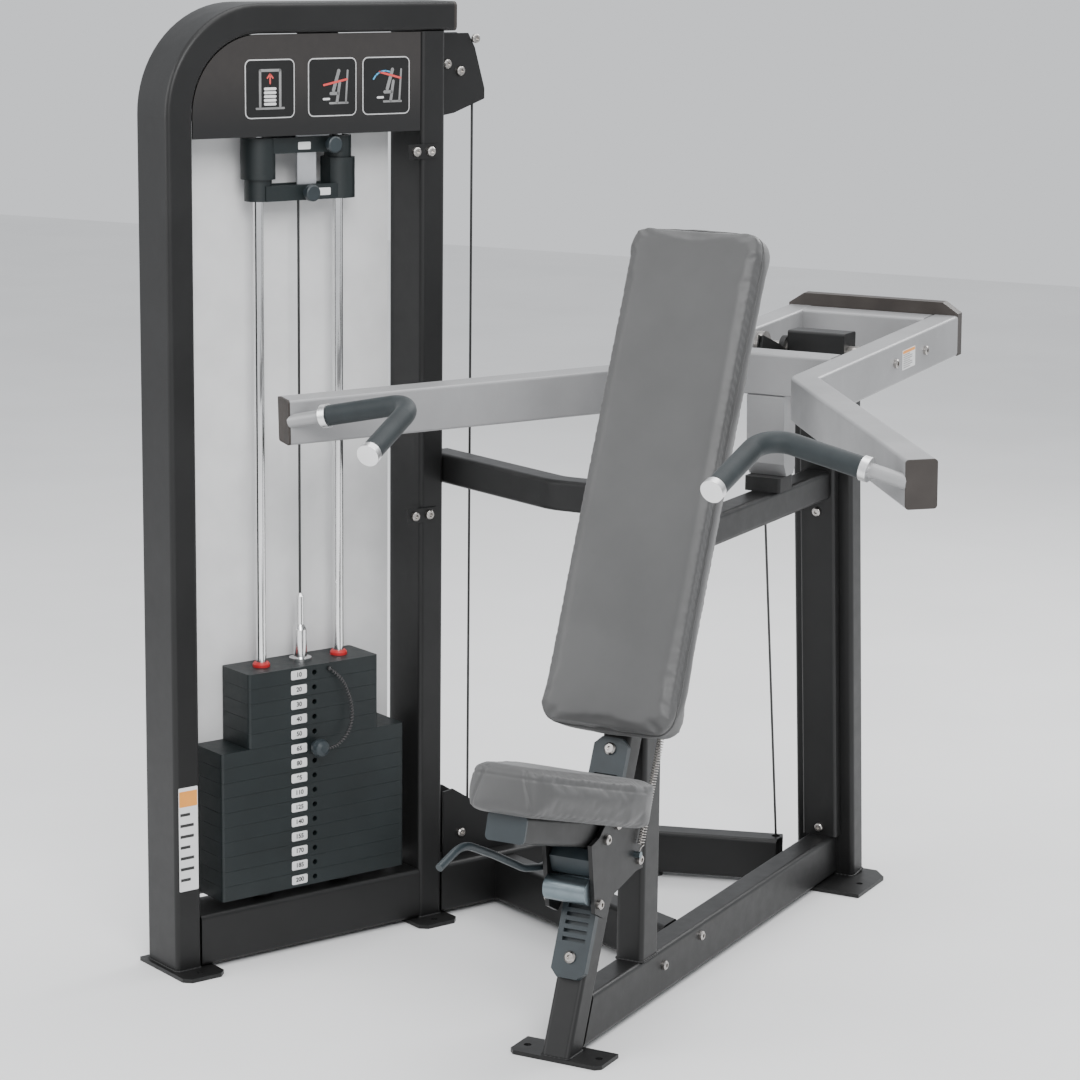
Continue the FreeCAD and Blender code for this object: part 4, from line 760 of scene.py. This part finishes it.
def makeCamCable():
    points = []
    for step in range(camCable["steps"] + 1):
        share = step / camCable["steps"]
        drop = math.radians(camCable["lowest"] + (camCable["highest"] - camCable["lowest"]) * share)
        points.append(Vector((camCable["x"], camCable["pivot"][0] - camCable["radius"] * math.cos(drop),
                              camCable["pivot"][1] - camCable["radius"] * math.sin(drop))))
    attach(tubeAlong("cam_cable", points, camCable["cable"], "cable_jacket"), "press_arm")


makeCamCable()


# weld beads where the posts stand on their plates
welds = {"bead": 0.0024, "ripple": 0.0005, "spacing": 0.0022, "corner": 0.009}


# rippled bead round the foot of a tube, a closed ring in its own plane
def addWeld(name, place, width, depth, body="frame"):
    loop = [Vector((x, y, 0)) for x, y in roundedLoop(0, 0, width / 2, depth / 2, welds["corner"], 5)]
    ring = []
    for first, second in zip(loop, loop[1:] + loop[:1]):
        count = max(1, round((second - first).length / welds["spacing"]))
        ring += [first.lerp(second, step / count) for step in range(count)]
    swell = [1 + welds["ripple"] / welds["bead"] * math.sin(index * 1.57) for index in range(len(ring))]
    mesh = closedRing(name, [place @ spot for spot in ring], welds["bead"], swell)
    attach(finished(name, mesh, "frame_paint", None, 60), body)


lean, footTop = math.radians(23), 0.008
addWeld("seat_post_weld", Matrix.Translation((0, 0.028 / math.cos(lean) + footTop * math.tan(lean), footTop)),
        0.056, 0.056 / math.cos(lean))
addWeld("rear_upright_weld", uprightFrame @ Matrix.Translation((0, 0.028, footTop)), 0.130, 0.0562)
addWeld("seat_column_weld", Matrix.Translation((0, 0.335, 0.100)), 0.056, 0.070)
for spot, u in (("front", 0.028), ("rear", 0.596)):
    addWeld("tower_%s_post_weld" % spot, towerFrame @ Matrix.Translation((u, 0.056, footTop)), 0.056, 0.112)
print("welds laid")


# numbered labels on the plates, beside the pin holes
labels = {"numbers": (10, 20, 30, 40, 50, 65, 80, 95, 110, 125, 140, 155, 170, 185, 200),
          "width": 0.036, "height": 0.018, "thickness": 0.0006, "offset": 0.036, "text": 0.0125}
labelWhite = mouldedPlastic("white label", 0.66, 0.76, 0.38, 1200, 0.05)
labelInk = mouldedPlastic("dark label print", 0.016, 0.024, 0.42, 1200, 0.04)


# on the front face of a plate, facing the user
def labelPlace(number, lift):
    return (towerFrame @ Matrix.Translation((stack["centre"] - labels["offset"], stack["face"] - lift,
                                             plateHeight(number))) @ facingUser)


def makeLabels():
    for group, body, numbers in (("lifted", "lifted_stack", range(1, 7)), ("resting", "frame", range(7, 16))):
        shape = bmesh.new()
        figures = bmesh.new()
        for number in numbers:
            addRoundBlock(shape, labelPlace(number, 0.0001),
                          (labels["width"], labels["height"], labels["thickness"]), 0.003, 4, 0.0002)
            addText(figures, str(labels["numbers"][number - 1]), labels["text"],
                    labelPlace(number, 0.0001 + labels["thickness"]), 0.0002)
        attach(finished("plate_labels_" + group, toMesh(shape, "labels"), "white_plastic", labelWhite), body)
        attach(finished("plate_numbers_" + group, toMesh(figures, "numbers"), "sign_plastic", labelInk),
                body)


# figures centred on a place, cut from a thin sheet
def addText(shape, words, size, place, depth):
    data = bpy.data.curves.new("figures", "FONT")
    data.body = words
    data.size = size
    data.extrude = depth / 2
    data.offset = size * 0.03
    data.align_x = "CENTER"
    data.align_y = "CENTER"
    letters = bpy.data.objects.new("figures", data)
    bpy.context.scene.collection.objects.link(letters)
    bpy.context.view_layer.update()
    mesh = bpy.data.meshes.new_from_object(letters)
    mesh.transform(place @ Matrix.Translation((0, 0, depth / 2)))
    shape.from_mesh(mesh)
    bpy.data.objects.remove(letters)
    bpy.data.meshes.remove(mesh)


# small white labels on the webs of the two add-on weights
def addOnLabels():
    for name, u, z in (("lower", 0.361, 1.4855), ("upper", 0.316, 1.5735)):
        start, ahead = towerFrame @ Vector((u, -0.2, z)), (towerFrame.to_3x3() @ Vector((0, 1, 0)))
        hit, spot, _, _ = nodes["addon_weight_" + name].ray_cast(start, ahead)
        face = (towerFrame.inverted() @ spot).y if hit else 0.028
        print("add-on label", name, hit, round(face, 4))
        shape = bmesh.new()
        addRoundBlock(shape, towerFrame @ Matrix.Translation((u, face - 0.0001, z)) @ facingUser,
                      (0.028, 0.014, 0.0005), 0.002, 4, 0.0002)
        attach(finished("addon_label_" + name, toMesh(shape, "label"), "white_plastic", labelWhite),
                "addon_" + name)


addOnLabels()
makeLabels()
print("labels on", stack["count"], "plates")


# sign: three framed pictures of plain shapes
sign = {"face": 0.004, "frames": ((0.224, 1.683), (0.363, 1.683), (0.486, 1.683)), "size": 0.109,
        "line": 0.0022, "corner": 0.012, "sheet": 0.0005}
signLine = mouldedPlastic("pale sign line", 0.48, 0.58, 0.40, 1200, 0.04)
signDark = mouldedPlastic("black picture ground", 0.0015, 0.0030, 0.34, 1200, 0.04)
signWhite = mouldedPlastic("white picture figure", 0.62, 0.72, 0.42, 1200, 0.04)
signGrey = mouldedPlastic("grey picture machine", 0.16, 0.24, 0.42, 1200, 0.04)
signRed = mouldedPlastic("red picture accent", (0.55, 0.05, 0.05), (0.66, 0.08, 0.07), 0.40, 1200, 0.04)
signBlue = mouldedPlastic("blue picture accent", (0.06, 0.30, 0.52), (0.09, 0.36, 0.60), 0.40, 1200, 0.04)


def signPlace(u, z, layer):
    return (towerFrame @ Matrix.Translation((u, sign["face"] - sign["sheet"] * layer, z)) @ facingUser)


# flat bar with rounded ends between two points of a picture, in millimetres
def addBar(shape, u, z, start, end, width, layer):
    a, b = Vector(start) * 0.001, Vector(end) * 0.001
    middle, run = (a + b) / 2, b - a
    turn = Matrix.Rotation(math.atan2(run.y, run.x), 4, "Z")
    place = signPlace(u, z, layer) @ Matrix.Translation((middle.x, middle.y, 0)) @ turn
    size = (max(run.length, 0.0002) + width * 0.001, width * 0.001, sign["sheet"])
    addRoundBlock(shape, place, size, width * 0.00049, 4)


def makeSign():
    layers = {"sign_lines": signLine, "sign_grounds": signDark, "sign_figures": signWhite,
              "sign_machines": signGrey, "sign_red_marks": signRed, "sign_blue_marks": signBlue}
    shapes = {name: bmesh.new() for name in layers}
    size, line = sign["size"], sign["line"]
    for u, z in sign["frames"]:
        addRoundBlock(shapes["sign_lines"], signPlace(u, z, 1), (size, size, sign["sheet"]), sign["corner"])
        addRoundBlock(shapes["sign_grounds"], signPlace(u, z, 2),
                      (size - 2 * line, size - 2 * line, sign["sheet"]), sign["corner"] - line)
    u, z = sign["frames"][0]  # first picture: a plain machine with its stack
    for start, end, width in (((-22, -32), (-22, 34), 5), ((22, -32), (22, 34), 5), ((-22, 34), (22, 34), 5),
                              ((-30, -36), (30, -36), 4)):
        addBar(shapes["sign_machines"], u, z, start, end, width, 3)
    for level in range(5):
        addBar(shapes["sign_figures"], u, z, (-11, -28 + level * 7), (11, -28 + level * 7), 5, 3)
    addBar(shapes["sign_red_marks"], u, z, (0, 10), (0, 24), 3, 3)
    for side in (-1, 1):
        addBar(shapes["sign_red_marks"], u, z, (0, 27), (side * 6, 20), 3, 3)
    for (u, z), raised in ((sign["frames"][1], False), (sign["frames"][2], True)):  # seat, post and arm
        for start, end, width in (((-6, -30), (34, -30), 4), ((10, -28), (16, 8), 6),
                                  ((30, -28), (34, 30), 4), ((-4, -12), (12, -12), 6),
                                  ((2, -6), (14, 30), 7)):
            addBar(shapes["sign_machines"], u, z, start, end, width, 3)
        tip = (-16, 26) if raised else (-20, 4)
        addBar(shapes["sign_red_marks"], u, z, (32, 14), tip, 4, 4)
        for step in range(5):  # curved arrow for the way the arm goes
            angle = math.radians(150 - step * 16)
            after = math.radians(150 - (step + 1) * 16)
            if raised:
                addBar(shapes["sign_blue_marks"], u, z,
                       (-4 + 30 * math.cos(angle), -2 + 30 * math.sin(angle)),
                       (-4 + 30 * math.cos(after), -2 + 30 * math.sin(after)), 3, 4)
        addBar(shapes["sign_figures"], u, z, (-20, -22), (-8, -22), 4, 3)
    for name, material in layers.items():
        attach(finished(name, toMesh(shapes[name], name), "sign_plastic", material), "frame")


makeSign()
print("sign drawn")


# generic stickers on the tower's front post and the arm
def makeStickers():
    amber = mouldedPlastic("amber sticker band", (0.72, 0.26, 0.04), (0.82, 0.34, 0.06), 0.42, 1200, 0.04)
    spots = (("post_sticker", towerFrame @ Matrix.Translation((0.028, -0.0002, 0.270)) @ facingUser,
              (0.042, 0.205), "frame"),
             ("arm_sticker", armFrame @ Matrix.Translation((0.1907, -0.003, 0.001)) @ facingLeft,
              (0.070, 0.040), "press_arm"))
    for name, place, (width, height), body in spots:
        sheet, band, lines = bmesh.new(), bmesh.new(), bmesh.new()
        addRoundBlock(sheet, place, (width, height, 0.0004), 0.002, 3)
        addRoundBlock(band, place @ Matrix.Translation((0, height / 2 - height * 0.11, 0.0004)),
                      (width * 0.94, height * 0.15, 0.0002), 0.0015, 3)
        rows = 7
        for row in range(rows):
            share = 0.82 if row % 3 else 0.60
            start = Matrix.Translation((-(1 - share) * width * 0.42, height * (0.24 - row * 0.105), 0.0004))
            addRoundBlock(lines, place @ start, (width * share * 0.86, height * 0.028, 0.0002), 0.0003, 2)
        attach(finished(name + "_sheet", toMesh(sheet, name), "white_plastic", labelWhite), body)
        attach(finished(name + "_band", toMesh(band, name), "white_plastic", amber), body)
        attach(finished(name + "_rules", toMesh(lines, name), "white_plastic", labelInk), body)


makeStickers()


# floor and light
def makeRoom():
    made = Finish("pale studio floor", specular=0.3)
    made.tone(made.ramp(made.noise(1.2, 3), 0.80, 0.84))
    made.gloss(made.noise(3, 3), 0.55, 0.70)
    made.bump(made.noise(180, 2), 0.02, 0.0005)
    shape = bmesh.new()
    bmesh.ops.create_grid(shape, x_segments=8, y_segments=8, size=12)
    mesh = bpy.data.meshes.new("floor")
    shape.to_mesh(mesh)
    shape.free()
    mesh.materials.append(made.material)
    floor = bpy.data.objects.new("floor", mesh)
    bpy.context.scene.collection.objects.link(floor)
    world = bpy.data.worlds.new("studio")
    world.use_nodes = True
    world.node_tree.nodes["Background"].inputs["Color"].default_value = (0.90, 0.92, 0.95, 1)
    world.node_tree.nodes["Background"].inputs["Strength"].default_value = 0.95
    bpy.context.scene.world = world


lights = {"key": ((2.6, -3.4, 4.2), 260, 2.6), "fill": ((-3.6, -2.8, 2.8), 120, 3.0),
          "rim": ((1.0, 4.4, 3.8), 150, 2.6), "top": ((0.0, 0.6, 5.0), 120, 3.4)}


def makeLights():
    for name, (place, power, size) in lights.items():
        data = bpy.data.lights.new(name, "AREA")
        data.energy = power
        data.size = size
        lamp = bpy.data.objects.new(name, data)
        lamp.location = place
        lamp.rotation_euler = (Vector((0, 0.5, 0.8)) - Vector(place)).to_track_quat("-Z", "Y").to_euler()
        bpy.context.scene.collection.objects.link(lamp)


makeRoom()
makeLights()
print("room lit")
